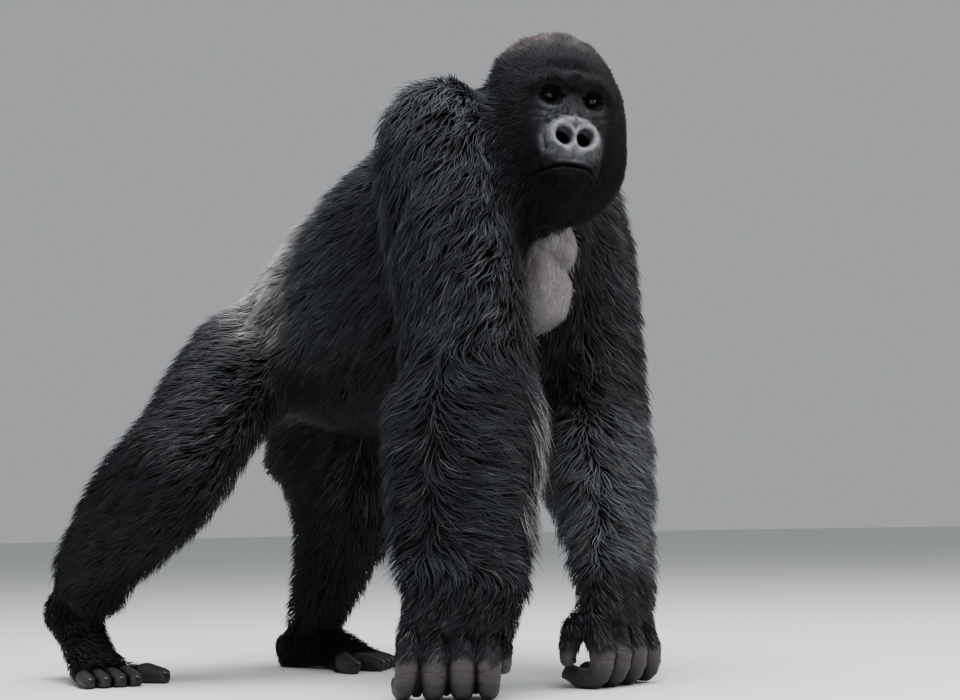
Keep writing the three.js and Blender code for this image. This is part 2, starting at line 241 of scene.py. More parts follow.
REGIONS: Dict[str, Growth] = {
    "head": Growth(11, 24, 1.6, 126e3, (0, 0, 0), 1, 0.03, 7, 0.35, 0.3),
    "neck": Growth(26, 40, 2.7, 52e3, (0, 0.8, -0.6), 1, 0.04, 10, 0.35, 0.3),
    "trunk": Growth(25, 44, 3.0, 37e3, (0, 0.85, -0.75), 1, 0.06, 14, 0.5),
    "upper_arm_right": Growth(34, 66, 3.0, 38e3, (-0.62, 0.2, -1.0), 2, 0.09, 20, 0.55),
    "forearm_right": Growth(33, 64, 2.9, 45e3, (0.62, -0.78, -0.3), 2, 0.10, 20, 0.6),
    "hand_right": Growth(12, 26, 2.4, 66e3, (-0.5, 0.35, -0.75), 1, 0.06, 14, 0.4),
    "upper_arm_left": Growth(33, 64, 3.0, 34e3, (0.7, -0.2, -1.0), 2, 0.09, 18, 0.55),
    "forearm_left": Growth(32, 58, 2.9, 38e3, (0.5, 0.35, -0.8), 2, 0.10, 20, 0.6),
    "hand_left": Growth(12, 26, 2.4, 60e3, (0.5, -0.1, -0.8), 1, 0.06, 14, 0.4),
    "thigh_right": Growth(28, 48, 2.9, 41e3, (-0.6, 0.78, -0.5), 1, 0.06, 12, 0.4),
    "shank_right": Growth(28, 44, 2.9, 40e3, (-0.5, 0.7, -0.55), 1, 0.06, 12, 0.4),
    "foot_right": Growth(11, 22, 2.3, 58e3, (0.1, -0.6, -0.5), 1, 0.05, 12, 0.3),
    "thigh_left": Growth(28, 50, 3.0, 32e3, (0.4, 0.6, -0.6), 1, 0.06, 12, 0.4),
    "shank_left": Growth(26, 42, 3.0, 36e3, (0.3, 0.5, -0.7), 1, 0.06, 12, 0.4),
    "foot_left": Growth(11, 22, 2.3, 58e3, (0.1, -0.9, -0.3), 1, 0.05, 12, 0.3),
}
REGION_NAMES = list(REGIONS)
HANDS, FEET, THIGHS, SHANKS = (
    (f"{limb}_right", f"{limb}_left") for limb in ("hand", "foot", "thigh", "shank")
)
SHORT_HAIRED = ("head", "neck")


def nodes_of(region: str) -> List[str]:
    """Names the nodes of flesh that a region of the coat covers."""
    return [region, "ear_right", "ear_left"] if region == "head" else [region]


FLESH = [node for region in REGIONS for node in nodes_of(region)]


# ---------- the skin


@dataclass
class Surface:
    """A triangle mesh held in arrays, with what is known at each of its points."""

    points: Array
    faces: List[Face]

    def __post_init__(self) -> None:
        """Splits the faces into triangles, lists the edges and works out the normals."""
        tris: List[Tuple[int, int, int]] = []
        for f in self.faces:
            tris.extend((f[0], f[i], f[i + 1]) for i in range(1, len(f) - 1))
        self.tris = np.array(tris, np.int32)
        pairs = np.concatenate([self.tris[:, [0, 1]], self.tris[:, [1, 2]], self.tris[:, [2, 0]]])
        self.edges = np.unique(np.sort(pairs, axis=1), axis=0)
        count = len(self.points)
        self.degree = np.bincount(self.edges.ravel(), minlength=count).astype(float)
        self.renormal()

    def renormal(self) -> None:
        """Works out the normals of the points."""
        a, b, c = (self.points[self.tris[:, i]] for i in range(3))
        crosses = np.cross(b - a, c - a)
        total, count = np.zeros_like(self.points), len(self.points)
        for i in range(3):
            for axis in range(3):
                total[:, axis] += np.bincount(self.tris[:, i], weights=crosses[:, axis], minlength=count)
        self.normals = unit(total)

    def region(self, *names: str) -> Array:
        """Adds up the weights of some regions of the coat."""
        return sum(self.weights[:, REGION_NAMES.index(n)] for n in names)

    def push(self, amount: Array) -> None:
        """Moves the points out along their normals by millimetres."""
        self.points = self.points + self.normals * (amount * MM)[:, None]

    def tree(self) -> BVHTree:
        """Makes a search tree of the surface as it is now."""
        return BVHTree.FromPolygons(self.points.tolist(), self.tris.tolist())

    def relax(self, rounds: int, share: Array | float) -> None:
        """Smooths the points themselves."""
        self.points = self.soften(self.points, rounds, share)

    def average(self, values: Array) -> Array:
        """Gives at each point the mean of its neighbours' values."""
        flat = values.reshape(len(values), -1)
        a, b = self.edges[:, 0], self.edges[:, 1]
        out = np.empty_like(flat, dtype=float)
        for i in range(flat.shape[1]):
            out[:, i] = np.bincount(a, weights=flat[b, i], minlength=len(flat))
            out[:, i] += np.bincount(b, weights=flat[a, i], minlength=len(flat))
        return (out / self.degree[:, None]).reshape(values.shape)

    def soften(self, values: Array, rounds: int, share: Array | float = 0.5) -> Array:
        """Smooths values over the surface.

        Args:
            values: one value or row for each point.
            rounds: how many times to smooth.
            share: how far each point moves to the mean of its neighbours, 0 to 1.

        Returns:
            The smoothed values.
        """
        weight = np.asarray(share, float)
        if weight.ndim and values.ndim > 1:
            weight = weight[:, None]
        for _ in range(rounds):
            values = values + weight * (self.average(values) - values)
        return values


def merged_copy(names: Iterable[str], swell: float) -> Mesh:
    """Joins copies of CAD nodes into one mesh, each a little swollen so that they meet.

    Args:
        names: the nodes.
        swell: how far each grows, in metres.

    Returns:
        The joined mesh.
    """
    whole = bmesh.new()
    for name in names:
        one = bmesh.new()
        one.from_mesh(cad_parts[name].data)
        bmesh.ops.remove_doubles(one, verts=one.verts, dist=1e-5)
        one.normal_update()
        for vert in one.verts:
            vert.co += vert.normal * swell
        part = bpy.data.meshes.new(name + "_copy")
        one.to_mesh(part)
        one.free()
        whole.from_mesh(part)
        bpy.data.meshes.remove(part)
    mesh = bpy.data.meshes.new("flesh_copy")
    whole.to_mesh(mesh)
    whole.free()
    return mesh


def mesh_of(name: str, points: Array, faces: Sequence[Sequence[int]]) -> Mesh:
    """Makes a mesh from points and faces."""
    mesh = bpy.data.meshes.new(name)
    mesh.from_pydata(points.tolist(), [], faces)
    return mesh


def object_of(mesh: Mesh, name: str) -> Object:
    """Links a mesh into the scene under a name."""
    obj = bpy.data.objects.new(name, mesh)
    bpy.context.scene.collection.objects.link(obj)
    return obj


def evaluated_mesh(obj: Object) -> Mesh:
    """Turns an object with its modifiers into a plain mesh."""
    graph = bpy.context.evaluated_depsgraph_get()
    return bpy.data.meshes.new_from_object(obj.evaluated_get(graph))


def points_of(mesh: Mesh) -> Array:
    """Reads a mesh's points."""
    flat = np.empty(len(mesh.vertices) * 3)
    mesh.vertices.foreach_get("co", flat)
    return flat.reshape(-1, 3)


def grid_faces(rows: int, sides: int) -> List[Face]:
    """Lists the faces between closed rings of points, one row of faces after another."""
    faces: List[Face] = []
    for i in range(rows):
        for k in range(sides):
            a, b = i * sides + k, i * sides + (k + 1) % sides
            faces.append((a, b, b + sides, a + sides))
    return faces


@dataclass(frozen=True)
class Stroke:
    """A crease or a swelling of the skin along a line, given as the face is seen from ahead.

    Args:
        line: points across and up from between the eyes, mm. The line is laid on the skin.
        width: half-width, mm.
        rise: how far the skin moves out, mm. Below 0 it is a crease.
        both: whether the other side of the face has it too.
    """

    line: Tuple[Pair, ...]
    width: float
    rise: float
    both: bool = True


BROAD_FORMS = (
    Stroke(((8, 24), (24, 28), (45, 28), (66, 15)), 14, 11),  # brow ridge
    Stroke(((0, 14), (0, 30)), 11, 8),  # between the brows
    Stroke(((-42, 60), (0, 68), (42, 60)), 17, 5, False),  # pad of the forehead
    Stroke(((0, 8), (0, -36)), 9, 4),  # bridge of the nose
    Stroke(((32, -30), (46, -26), (60, -18)), 10, 4),  # upper cheek under the eye
    Stroke(((8, -52), (20, -52), (33, -62), (41, -78), (40, -94), (28, -104)), 8, 7),  # wing of the nose
    Stroke(((0, -70), (0, -100)), 5, 4),  # wall between the nostrils
    Stroke(((50, -58), (57, -80), (52, -104)), 6, -5),  # groove round the wing
    Stroke(((34, -50), (46, -58)), 5, -3),
    Stroke(((14, -114), (32, -114), (50, -124)), 9, 4),  # upper lip
    Stroke(((0, -150), (28, -152), (46, -158)), 8, 3),  # lower lip
    Stroke(((62, -116), (70, -138), (66, -158)), 8, -4),  # fold beyond the corner of the mouth
)
FINE_FORMS = (
    Stroke(((0, -50), (0, -60), (0, -70)), 2.6, -5),  # notch over the nostrils
    Stroke(((0, -100), (0, -108), (0, -120)), 3.5, -2),  # furrow under the nose
    Stroke(((0, -133), (14, -132), (30, -136), (46, -142), (60, -149)), 2.4, -8),  # mouth
    Stroke(((0, -127), (16, -126), (32, -130), (46, -136)), 3.2, 2.4),  # edge of the upper lip
    Stroke(((0, -140), (18, -140), (34, -144), (48, -150)), 3.6, 2.8),  # edge of the lower lip
    Stroke(((3, 6), (3, -16)), 1.3, -1.6),  # wrinkles between the eyes
    Stroke(((9, 8), (9, -18)), 1.5, -1.8),
    Stroke(((16, -2), (17, -18), (22, -34)), 1.6, -1.8),
    Stroke(((20, -14), (33, -18), (47, -16), (58, -7)), 1.4, -1.5),  # bag under the eye
    Stroke(((22, -21), (36, -27), (52, -25), (66, -13)), 1.6, -1.4),
    Stroke(((28, -30), (44, -37), (62, -32)), 1.8, -1.2),
    Stroke(((36, -40), (52, -48), (66, -46)), 1.8, -1.3),
    Stroke(((55, 3), (66, 6)), 1.3, -1.4),  # crow's feet
    Stroke(((55, -2), (68, -4)), 1.3, -1.4),
    Stroke(((24, 10), (38, 14), (52, 11)), 1.5, -2.2),  # fold of the upper lid
    Stroke(((6, -42), (14, -38), (26, -42)), 1.6, -1.4),  # top edge of the nose
    Stroke(((40, -108), (46, -122)), 1.4, -1.3),  # wrinkles of the upper lip
    Stroke(((30, -110), (33, -125)), 1.4, -1.2),
    Stroke(((10, -112), (11, -124)), 1.3, -1.1),
    Stroke(((20, -112), (22, -125)), 1.3, -1.1),
    Stroke(((50, -104), (57, -120), (62, -134)), 1.8, -1.8),
    Stroke(((10, -146), (12, -158)), 1.4, -0.9),
    Stroke(((26, -148), (29, -160)), 1.4, -0.9),
)
# Across and up from between the eyes, half-sizes and depth in millimetres, and the lean in degrees.
NOSTRIL = {"at": (18.6, -82.0), "half": (15.4, 17.5), "lean": 27.0, "depth": 25.0}
FACE_FRONT = -90.0  # the nostrils lie ahead of this, mm
FAR_OFF = 99.0  # what stands for a place far from a form


def nostril_reach(local: Array) -> Array:
    """Gives how far out each point lies from the nearer nostril's middle, 1 at its edge."""
    lean = math.radians(NOSTRIL["lean"])
    dx, dz = np.abs(local[:, 0]) - NOSTRIL["at"][0], local[:, 2] - NOSTRIL["at"][1]
    across = dx * math.cos(lean) - dz * math.sin(lean)
    up = dx * math.sin(lean) + dz * math.cos(lean)
    reach = np.hypot(across / NOSTRIL["half"][0], up / NOSTRIL["half"][1])
    return np.where(local[:, 1] < FACE_FRONT, reach, 9.0)


def eye_gap(local: Array) -> Array:
    """Gives how far each point is, across the face, from the nearer eye."""
    x, _, z = STANCE.eye_at
    return np.where(local[:, 1] < -50, np.hypot(np.abs(local[:, 0]) - x, local[:, 2] - z), FAR_OFF)


def chest_fold(p: Array) -> Array:
    """Gives how far each point lies over the fold that slants across the chest, mm."""
    return p[:, 2] - 781 + 0.52 * (p[:, 0] - 15)


@dataclass(frozen=True)
class Digit:
    """A finger or toe as a chain of round joints, in the frame of its hand or foot.

    Args:
        chain: distance outward, distance forward, height and radius of each joint, mm.
    """

    chain: Tuple[Tuple[float, float, float, float], ...]


def finger(out: float, size: float, splay: float) -> Digit:
    """Gives a knuckle-walking finger: down from the hand, bent under, its tip turned up."""
    back_of_hand = ((-4, 118, 22), (8, 84, 23), (15, 62, 24.5), (14, 44, 22.5))
    # Each joint: forward of the knuckles, up from the floor and its radius, mm.
    path = back_of_hand + ((7, 27, 20), (-4, 19, 19), (-38, 18, 18), (-62, 28, 16))
    last = len(path) - 1
    return Digit(tuple((out + splay * i / last, f, z, r * size) for i, (f, z, r) in enumerate(path)))


def toe(number: int) -> Digit:
    """Gives one of the four smaller toes, counted from the inner side."""
    size = 1.06 - 0.05 * number
    reach = 62 * (1.1 - 0.1 * number)
    out = (number - 1.4) * 27
    path = ((0, 24, 15.5), (0.4, 22, 15), (0.72, 17, 15.5), (1, 13, 13.5))
    return Digit(tuple((out * (1 + 0.08 * t), 10 + (14 + reach) * t, z, r * size) for t, z, r in path))


FINGERS = tuple(finger(*f) for f in ((-66, 0.98, -4), (-22, 1.05, -2), (22, 1.02, 6), (64, 0.88, 20)))
THUMB = Digit(((-70, -24, 140, 24), (-86, -32, 118, 20), (-96, -38, 80, 18), (-97, -42, 54, 15)))
TOES = tuple(toe(i) for i in range(4))
BIG_TOE = Digit(((-45, -10, 32, 25), (-64, 10, 25, 22), (-90, 42, 19, 20), (-108, 72, 14, 16)))


@dataclass(frozen=True)
class Extremity:
    """A hand or foot: where its frame stands and its digits.

    Args:
        at: place of the knuckles or the ball of the foot, mm.
        turn: degrees it turns from straight ahead.
        side: -1 for the right limb and 1 for the left.
        digits: its digits.
    """

    at: Pair
    turn: float
    side: int
    digits: Tuple[Digit, ...]

    def axes(self) -> Tuple[Array, Array]:
        """Gives its outward and forward directions."""
        c, s = math.cos(math.radians(self.turn)), math.sin(math.radians(self.turn))
        return self.side * np.array((c, s, 0.0)), np.array((s, -c, 0.0))

    def place(self, out: float, forward: float, height: float) -> Array:
        """Gives a place in the model's millimetres from its own distances."""
        outward, ahead = self.axes()
        return np.array((*self.at, 0.0)) + out * outward + forward * ahead + (0, 0, height)

    def gap(self, points: Array) -> Array:
        """Gives how far points in millimetres lie outside the digits, below 0 inside."""
        best = np.full(len(points), 1e3)
        for digit in self.digits:
            knots = [(self.place(*k[:3]), k[3]) for k in digit.chain]
            for (a, ra), (b, rb) in zip(knots[:-1], knots[1:]):
                far, t = to_segment(points, a, b)
                best = np.minimum(best, far - (ra + (rb - ra) * t))
        return best

    def crowding(self, points: Array) -> Array:
        """Gives how much further the second nearest digit is than the nearest, mm."""
        gaps = np.array([replace(self, digits=(digit,)).gap(points) for digit in self.digits])
        gaps.sort(axis=0)
        return gaps[1] - gaps[0]


EXTREMITIES = {
    "hand_right": Extremity((-272, -326), -48, -1, FINGERS + (THUMB,)),
    "hand_left": Extremity((84, -440), -6, 1, FINGERS + (THUMB,)),
    "foot_right": Extremity((-376, 486), -15, -1, TOES + (BIG_TOE,)),
    "foot_left": Extremity((122, 266), 10, 1, TOES + (BIG_TOE,)),
}


@dataclass
class Skin:
    """One skin over the whole animal, with its face, lids, knuckles and soles.

    Args:
        grain: size of the skin's own mesh, metres.
        swell: how far the nodes grow so that they join, metres.
        meet: how widely neighbouring regions of the coat blend, metres.
        under_bare: how deep the bare skin lies under the nodes, mm.
    """

    grain: float = 0.0077
    swell: float = 0.0012
    meet: float = 0.012
    under_bare: float = 0.6

    def build(self) -> Surface:
        """Builds the skin's surface and all that is known on it."""
        body = object_of(merged_copy(FLESH + ["eye_right", "eye_left"], self.swell), "skin_source")
        remesh = body.modifiers.new("one_skin", "REMESH")
        remesh.mode = "VOXEL"
        remesh.voxel_size = self.grain
        mesh = evaluated_mesh(body)
        bpy.data.objects.remove(body)
        surface = Surface(points_of(mesh), [tuple(p.vertices) for p in mesh.polygons])
        self.weigh(surface)
        self.settle(surface)
        surface = self.refine(surface)
        surface.digit_share = self.digits(surface)
        self.shape_face(surface)
        self.shape_digits(surface)
        self.shape_chest(surface)
        self.describe(surface)
        LOG.info("skin: %d triangles", len(surface.tris))
        return surface

    def weigh(self, surface: Surface) -> None:
        """Works out how much each region of the coat counts at each point."""
        count = len(surface.points)
        gaps = np.full((count, len(REGION_NAMES)), 1.0)
        for i, region in enumerate(REGION_NAMES):
            mesh = merged_copy(nodes_of(region), 0)
            spots = points_of(mesh)
            tree = BVHTree.FromPolygons(spots.tolist(), [tuple(p.vertices) for p in mesh.polygons])
            bpy.data.meshes.remove(mesh)
            low, high = spots.min(0) - 0.06, spots.max(0) + 0.06
            near = np.all((surface.points > low) & (surface.points < high), axis=1)
            for j in np.flatnonzero(near):
                gaps[j, i] = tree.find_nearest(surface.points[j])[3]
        weights = np.exp(-(gaps - gaps.min(1, keepdims=True)) / self.meet)
        weights /= weights.sum(1, keepdims=True)
        surface.weights = surface.soften(weights, 6)

    def settle(self, surface: Surface) -> None:
        """Smooths the joins and draws the skin in under the coat."""
        digits = self.digits(surface)
        face = self.face(surface)
        share = 0.55 * (1 - 0.75 * np.maximum(digits, face))
        surface.relax(14, share)
        # The hollows of eyes and nostrils are filled first, and shaped afresh on the finer mesh.
        local = STANCE.in_head(surface.points)
        sockets = ramp(eye_gap(local), 36, 27)
        hollow = np.maximum(sockets, ramp(nostril_reach(local), 2.2, 1.5))
        surface.relax(70, hollow * (local[:, 1] < -60))
        surface.renormal()
        depth = surface.soften(self.coat_depth(surface), 8)
        for _ in range(4):
            surface.push(-depth / 4)
            surface.relax(2, share * 0.5)
            surface.renormal()
        surface.depth = depth

    def digits(self, surface: Surface) -> Array:
        """Says where the skin takes the shape of fingers, toes and soles, from 0 to 1."""
        z = surface.points[:, 2] / MM
        hands = surface.region(*HANDS) * ramp(z, 146, 92)
        feet = surface.region(*FEET)
        front = np.zeros(len(z))
        for side in ("right", "left"):
            heel, ball = (STANCE.place(p) for p in BONES[f"foot_{side}"])
            way = unit(ball - heel)
            reach = (surface.points - ball) @ way
            mine = surface.region(f"foot_{side}")
            front = np.maximum(front, mine * ramp(reach, 0.022, 0.05))
            back = (heel - surface.points) @ way
            front = np.maximum(front, mine * ramp(back, 0.0, 0.03))
        sole = feet * ramp(surface.normals[:, 2], -0.45, -0.8)
        return np.clip(np.maximum(np.maximum(hands, front), sole), 0, 1)

    def face(self, surface: Surface) -> Array:
        """Says where the bare face is, from 0 to 1."""
        p = STANCE.in_head(surface.points)
        x, y, z = np.abs(p[:, 0]), p[:, 1], p[:, 2]
        # The hair's edge runs over the brows, outside the eyes and round the muzzle to the chin.
        edge = np.interp(z, [-176, -158, -120, -60, -20, 10, 34], [24, 46, 60, 62, 66, 62, 40])
        inside = ramp(x - edge, 14, -12) * ramp(z, 32, 8) * ramp(z, -176, -150)
        return inside * ramp(y, -35, -60) * surface.region("head")

    def chest(self, surface: Surface) -> Array:
        """Says where the bare chest is, from 0 to 1."""
        p = surface.points / MM - STANCE.shift
        half = np.interp(p[:, 2], [620, 680, 800, 900], [30, 62, 66, 40])
        half = np.where(p[:, 0] > 0, np.interp(p[:, 2], [620, 680, 800, 900], [34, 64, 44, 20]), half)
        across = ramp(np.abs(p[:, 0] + 2) - half, 20, -12)
        height = ramp(p[:, 2], 612, 660) * ramp(p[:, 2], 940, 880)
        ahead = ramp(p[:, 1], -230, -280) * ramp(surface.normals[:, 1], -0.1, -0.4)
        return across * height * ahead * surface.region("trunk")

    def coat_depth(self, surface: Surface) -> Array:
        """Gives the depth of the coat at each point, mm."""
        depth = surface.weights @ np.array([REGIONS[n].depth for n in REGION_NAMES], float)
        bare = np.maximum(np.maximum(self.face(surface), self.chest(surface)), self.digits(surface))
        p = STANCE.in_head(surface.points)
        temple = surface.region("head") * ramp(p[:, 1], -20, -70)
        depth = depth * (1 - 0.45 * temple)
        return depth * (1 - bare) + self.under_bare * bare

    def level(self, centre: Vector, digit: float) -> int:
        """Says how often a face is cut, from its middle and how far it lies on a digit."""
        x, y, z = STANCE.in_head(np.array(centre))
        if y < -62 and abs(x) < 72 and -172 < z < 50:
            eye = min(math.hypot((x - sign * STANCE.eye_at[0]) * 0.8, z) for sign in (-1, 1))
            return 3 if eye < 24 else 2
        return 2 if digit > 0.5 else 1 if digit > 0.1 else 0

    def refine(self, surface: Surface) -> Surface:
        """Cuts the mesh finer where the face, fingers and toes need it."""
        mesh = mesh_of("skin_refine", surface.points, surface.faces)
        work = bmesh.new()
        work.from_mesh(mesh)
        bpy.data.meshes.remove(mesh)
        fields = np.column_stack([surface.weights, surface.depth])
        for i in range(fields.shape[1]):
            work.verts.layers.float.new(f"field{i}")
        layers = list(work.verts.layers.float.values())
        for vert, row in zip(work.verts, fields):
            for layer, value in zip(layers, row):
                vert[layer] = value
        for step in range(3):
            rough = Surface.__new__(Surface)  # holds only what digits() reads
            work.verts.ensure_lookup_table()
            work.normal_update()
            rough.points = np.array([v.co for v in work.verts])
            rough.normals = np.array([v.normal for v in work.verts])
            rough.weights = np.array([[v[layer] for layer in layers[:-1]] for v in work.verts])
            digit = self.digits(rough)
            chosen = set()
            for f in work.faces:
                if self.level(f.calc_center_median(), max(digit[v.index] for v in f.verts)) > step:
                    chosen.update(f.edges)
            if chosen:
                bmesh.ops.subdivide_edges(work, edges=list(chosen), cuts=1, use_grid_fill=True)
            work.verts.index_update()
        work.verts.ensure_lookup_table()
        faces = [tuple(v.index for v in f.verts) for f in work.faces]
        fine = Surface(np.array([v.co for v in work.verts]), faces)
        fields = np.array([[v[layer] for layer in layers] for v in work.verts])
        work.free()
        fine.depth = fields[:, -1].copy()
        fine.weights = np.ascontiguousarray(fields[:, :-1])
        fine.weights /= np.maximum(fine.weights.sum(1, keepdims=True), 1e-6)
        near = np.maximum(self.face(fine), self.digits(fine))
        fine.relax(5, 0.5 * ramp(near, 0.02, 0.4))
        fine.renormal()
        return fine

    def press(self, surface: Surface, strokes: Sequence[Stroke], tree: BVHTree) -> None:
        """Presses creases into the face and raises its swellings."""
        local = STANCE.in_head(surface.points)
        beside, over = np.abs(local[:, 0]), np.abs(local[:, 2] + 35)
        near = np.flatnonzero((local[:, 1] < -25) & (beside < 100) & (over < 165))
        moved = np.zeros(len(near))
        for stroke in strokes:
            for sign in (-1, 1) if stroke.both else (1,):
                if sign == -1 and max(abs(x) for x, _ in stroke.line) == 0:
                    continue
                laid = self.lay_line(stroke, sign, tree)
                gap = np.full(len(near), 1e3)
                for a, b in zip(laid[:-1], laid[1:]):
                    gap = np.minimum(gap, to_segment(local[near], a, b)[0])
                moved += stroke.rise * bell(gap, 0, stroke.width)
        surface.points[near] += surface.normals[near] * (moved * MM)[:, None]
        surface.renormal()

    def lay_line(self, stroke: Stroke, sign: int, tree: BVHTree) -> Array:
        """Lays a stroke's line on the skin and gives its points in the head's frame."""
        ahead = Vector(STANCE.head_axes @ np.array((0, 1, 0)))
        laid = []
        for x, z in stroke.line:
            start = Vector(STANCE.from_head((sign * x, -260, z)))
            hit = tree.ray_cast(start, ahead)[0]
            laid.append(STANCE.in_head(np.array(hit or start)[None])[0])
        return np.array(laid)

    def shape_face(self, surface: Surface) -> None:
        """Shapes brows, nose, lips, lids and wrinkles."""
        self.press(surface, BROAD_FORMS, surface.tree())
        self.set_lids(surface)
        self.open_nostrils(surface)
        local = STANCE.in_head(surface.points)
        share = 0.3 * ramp(local[:, 1], -60, -90) * (np.abs(local[:, 0]) < 75)
        surface.relax(2, share * ramp(eye_gap(local), 14, 22))
        surface.renormal()
        self.press(surface, FINE_FORMS, surface.tree())

    def set_lids(self, surface: Surface) -> None:
        """Draws the skin over each eyeball as lids, with an almond opening between them."""
        x0, y0, z0 = STANCE.eye_at
        local = STANCE.in_head(surface.points)
        dx, dz = (np.abs(local[:, 0]) - x0), local[:, 2] - z0
        gap = eye_gap(local)
        near = gap < 32
        ball = 14 + 1.6
        bulge = np.sqrt(np.maximum(ball**2 - np.minimum(gap, ball) ** 2, 0))
        lid = y0 - np.maximum(bulge, 10.5)
        # The brow hangs close over the upper lid, and the cheek begins lower down.
        reach = np.where(dz > 0, 19, 27)
        blend = ramp(gap, 12, reach)
        y = lid * (1 - blend) + local[:, 1] * blend
        # The inner corner of the opening lies lower than the outer one.
        tilt = dz - 0.12 * dx + 1.0
        opening = np.abs(dx / 12.0) ** 1.7 + np.abs(tilt / np.where(tilt > 0, 3.9, 4.2)) ** 2
        rim = 1.1 * bell(np.sqrt(opening), 1.2, 0.2)
        y = np.where(opening < 1, y0 + 2.0, y - rim)
        local[:, 1] = np.where(near, y, local[:, 1])
        surface.points = np.where(near[:, None], STANCE.from_head(local), surface.points)
        surface.renormal()

    def open_nostrils(self, surface: Surface) -> None:
        """Sinks the nostrils in and up, with a rounded rim about them."""
        local = STANCE.in_head(surface.points)
        reach = nostril_reach(local)
        rim = bell(reach, 1.32, 0.26) * 3.2
        surface.push(rim)
        deep = ramp(reach, 1.12, 0.72) * NOSTRIL["depth"]
        inward = STANCE.head_axes @ np.array((0, 0.93, 0.36))
        surface.points = surface.points + inward * (deep * MM)[:, None]
        surface.renormal()

    def shape_digits(self, surface: Surface) -> None:
        """Rounds the fingers and toes, parts them, and creases their joints."""
        for _ in range(7):
            move = np.zeros(len(surface.points))
            place = surface.points / MM - STANCE.shift
            for name, limb in EXTREMITIES.items():
                mine = surface.region(name) * surface.digit_share
                near = np.flatnonzero(mine > 0.05)
                gap = limb.gap(place[near])
                hold = mine[near] * ramp(np.abs(gap), 17, 11)
                move[near] += np.clip(gap, -2.5, 2.5) * hold
            surface.push(-move)
            surface.relax(1, 0.2 * surface.digit_share)
            surface.renormal()
        points, z = surface.points, surface.points[:, 2] / MM
        hands = surface.region(*HANDS) * surface.digit_share
        for level, depth in ((72, 0.8), (66, 0.8), (52, 1.6), (46, 1.2), (40, 0.7), (30, 0.7)):
            wander = 1.6 * ripple(points, 0.04, level)
            crease = bell(z - level + wander, 0, 1.5) * hands
            points = points - surface.normals * (depth * MM * crease)[:, None]
        points[:, 2] = np.maximum(points[:, 2], 0.0)
        surface.points = points
        surface.renormal()

    def shape_chest(self, surface: Surface) -> None:
        """Swells the breast muscles and the belly under the bare chest, with folds between."""
        p = surface.points / MM - STANCE.shift
        chest = ramp(surface.normals[:, 1], -0.2, -0.6) * surface.region("trunk")
        rise = np.zeros(len(p))
        for x, z, wide, high, push in ((-40, 850, 44, 40, 8), (36, 812, 34, 36, 13), (8, 702, 60, 46, 15)):
            rise += push * mound(p[:, 0], p[:, 2], (x, z), (wide, high))
        rise -= 11 * bell(chest_fold(p), 0, 13) * ramp(np.abs(p[:, 0]), 110, 70)
        surface.push(rise * chest)
        surface.renormal()

    def describe(self, surface: Surface) -> None:
        """Works out the bare places, the lie of the coat and its markings."""
        surface.face = self.face(surface)
        z = surface.points[:, 2] / MM + 8 * ripple(surface.points, 0.03, 8)
        hands = surface.region(*HANDS)
        surface.digits = surface.digit_share * (1 - hands * (1 - ramp(z, 88, 62)))
        surface.chest = self.chest(surface)
        surface.bare = np.clip(surface.face + surface.digits + surface.chest, 0, 1)
        # Long hair hangs along the forearm's inner front edge and sweeps out over its rear edge.
        front, rear = (0.62, -0.78, 0), (-0.62, 0.78, 0)
        surface.fringe = self.forearm_edge(surface, front, (0.62, 0.88), (270, 340), (600, 540))
        surface.sweep = self.forearm_edge(surface, rear, (0.3, 0.7), (190, 300), (660, 600))
        lies = np.array([REGIONS[n].lie for n in REGION_NAMES], float)
        flow = surface.weights @ lies
        flow += surface.fringe[:, None] * np.array((0.1, -0.1, -1.2))
        flow += surface.sweep[:, None] * np.array((-1.4, 1.76, 0.1))
        local = STANCE.in_head(surface.points)
        # On the head the hair grows away from the nose, back over the crown and down the cheeks.
        outward = local - (0, -120, -40)
        outward[:, 2] -= 60 * ramp(local[:, 2], 20, -80)
        outward[:, 1] += 90
        head = surface.region("head")[:, None]
        flow += head * unit(outward) @ STANCE.head_axes.T
        flow = along_surface(flow, surface.normals)
        for _ in range(3):
            flow = along_surface(surface.soften(flow, 5), surface.normals)
        surface.flow = flow
        markings = Markings()
        surface.tone, surface.skin_tone = markings.paint_coat(surface), markings.paint_hide(surface)

    def forearm_edge(self, surface: Surface, way: Triple, steep: Pair, low: Pair, high: Pair) -> Array:
        """Says where one edge of the right forearm is, by the way it faces and its height."""
        z = surface.points[:, 2] / MM
        edge = ramp(surface.normals @ np.array(way), *steep) * ramp(z, *low) * ramp(z, *high)
        return edge * surface.region("forearm_right")


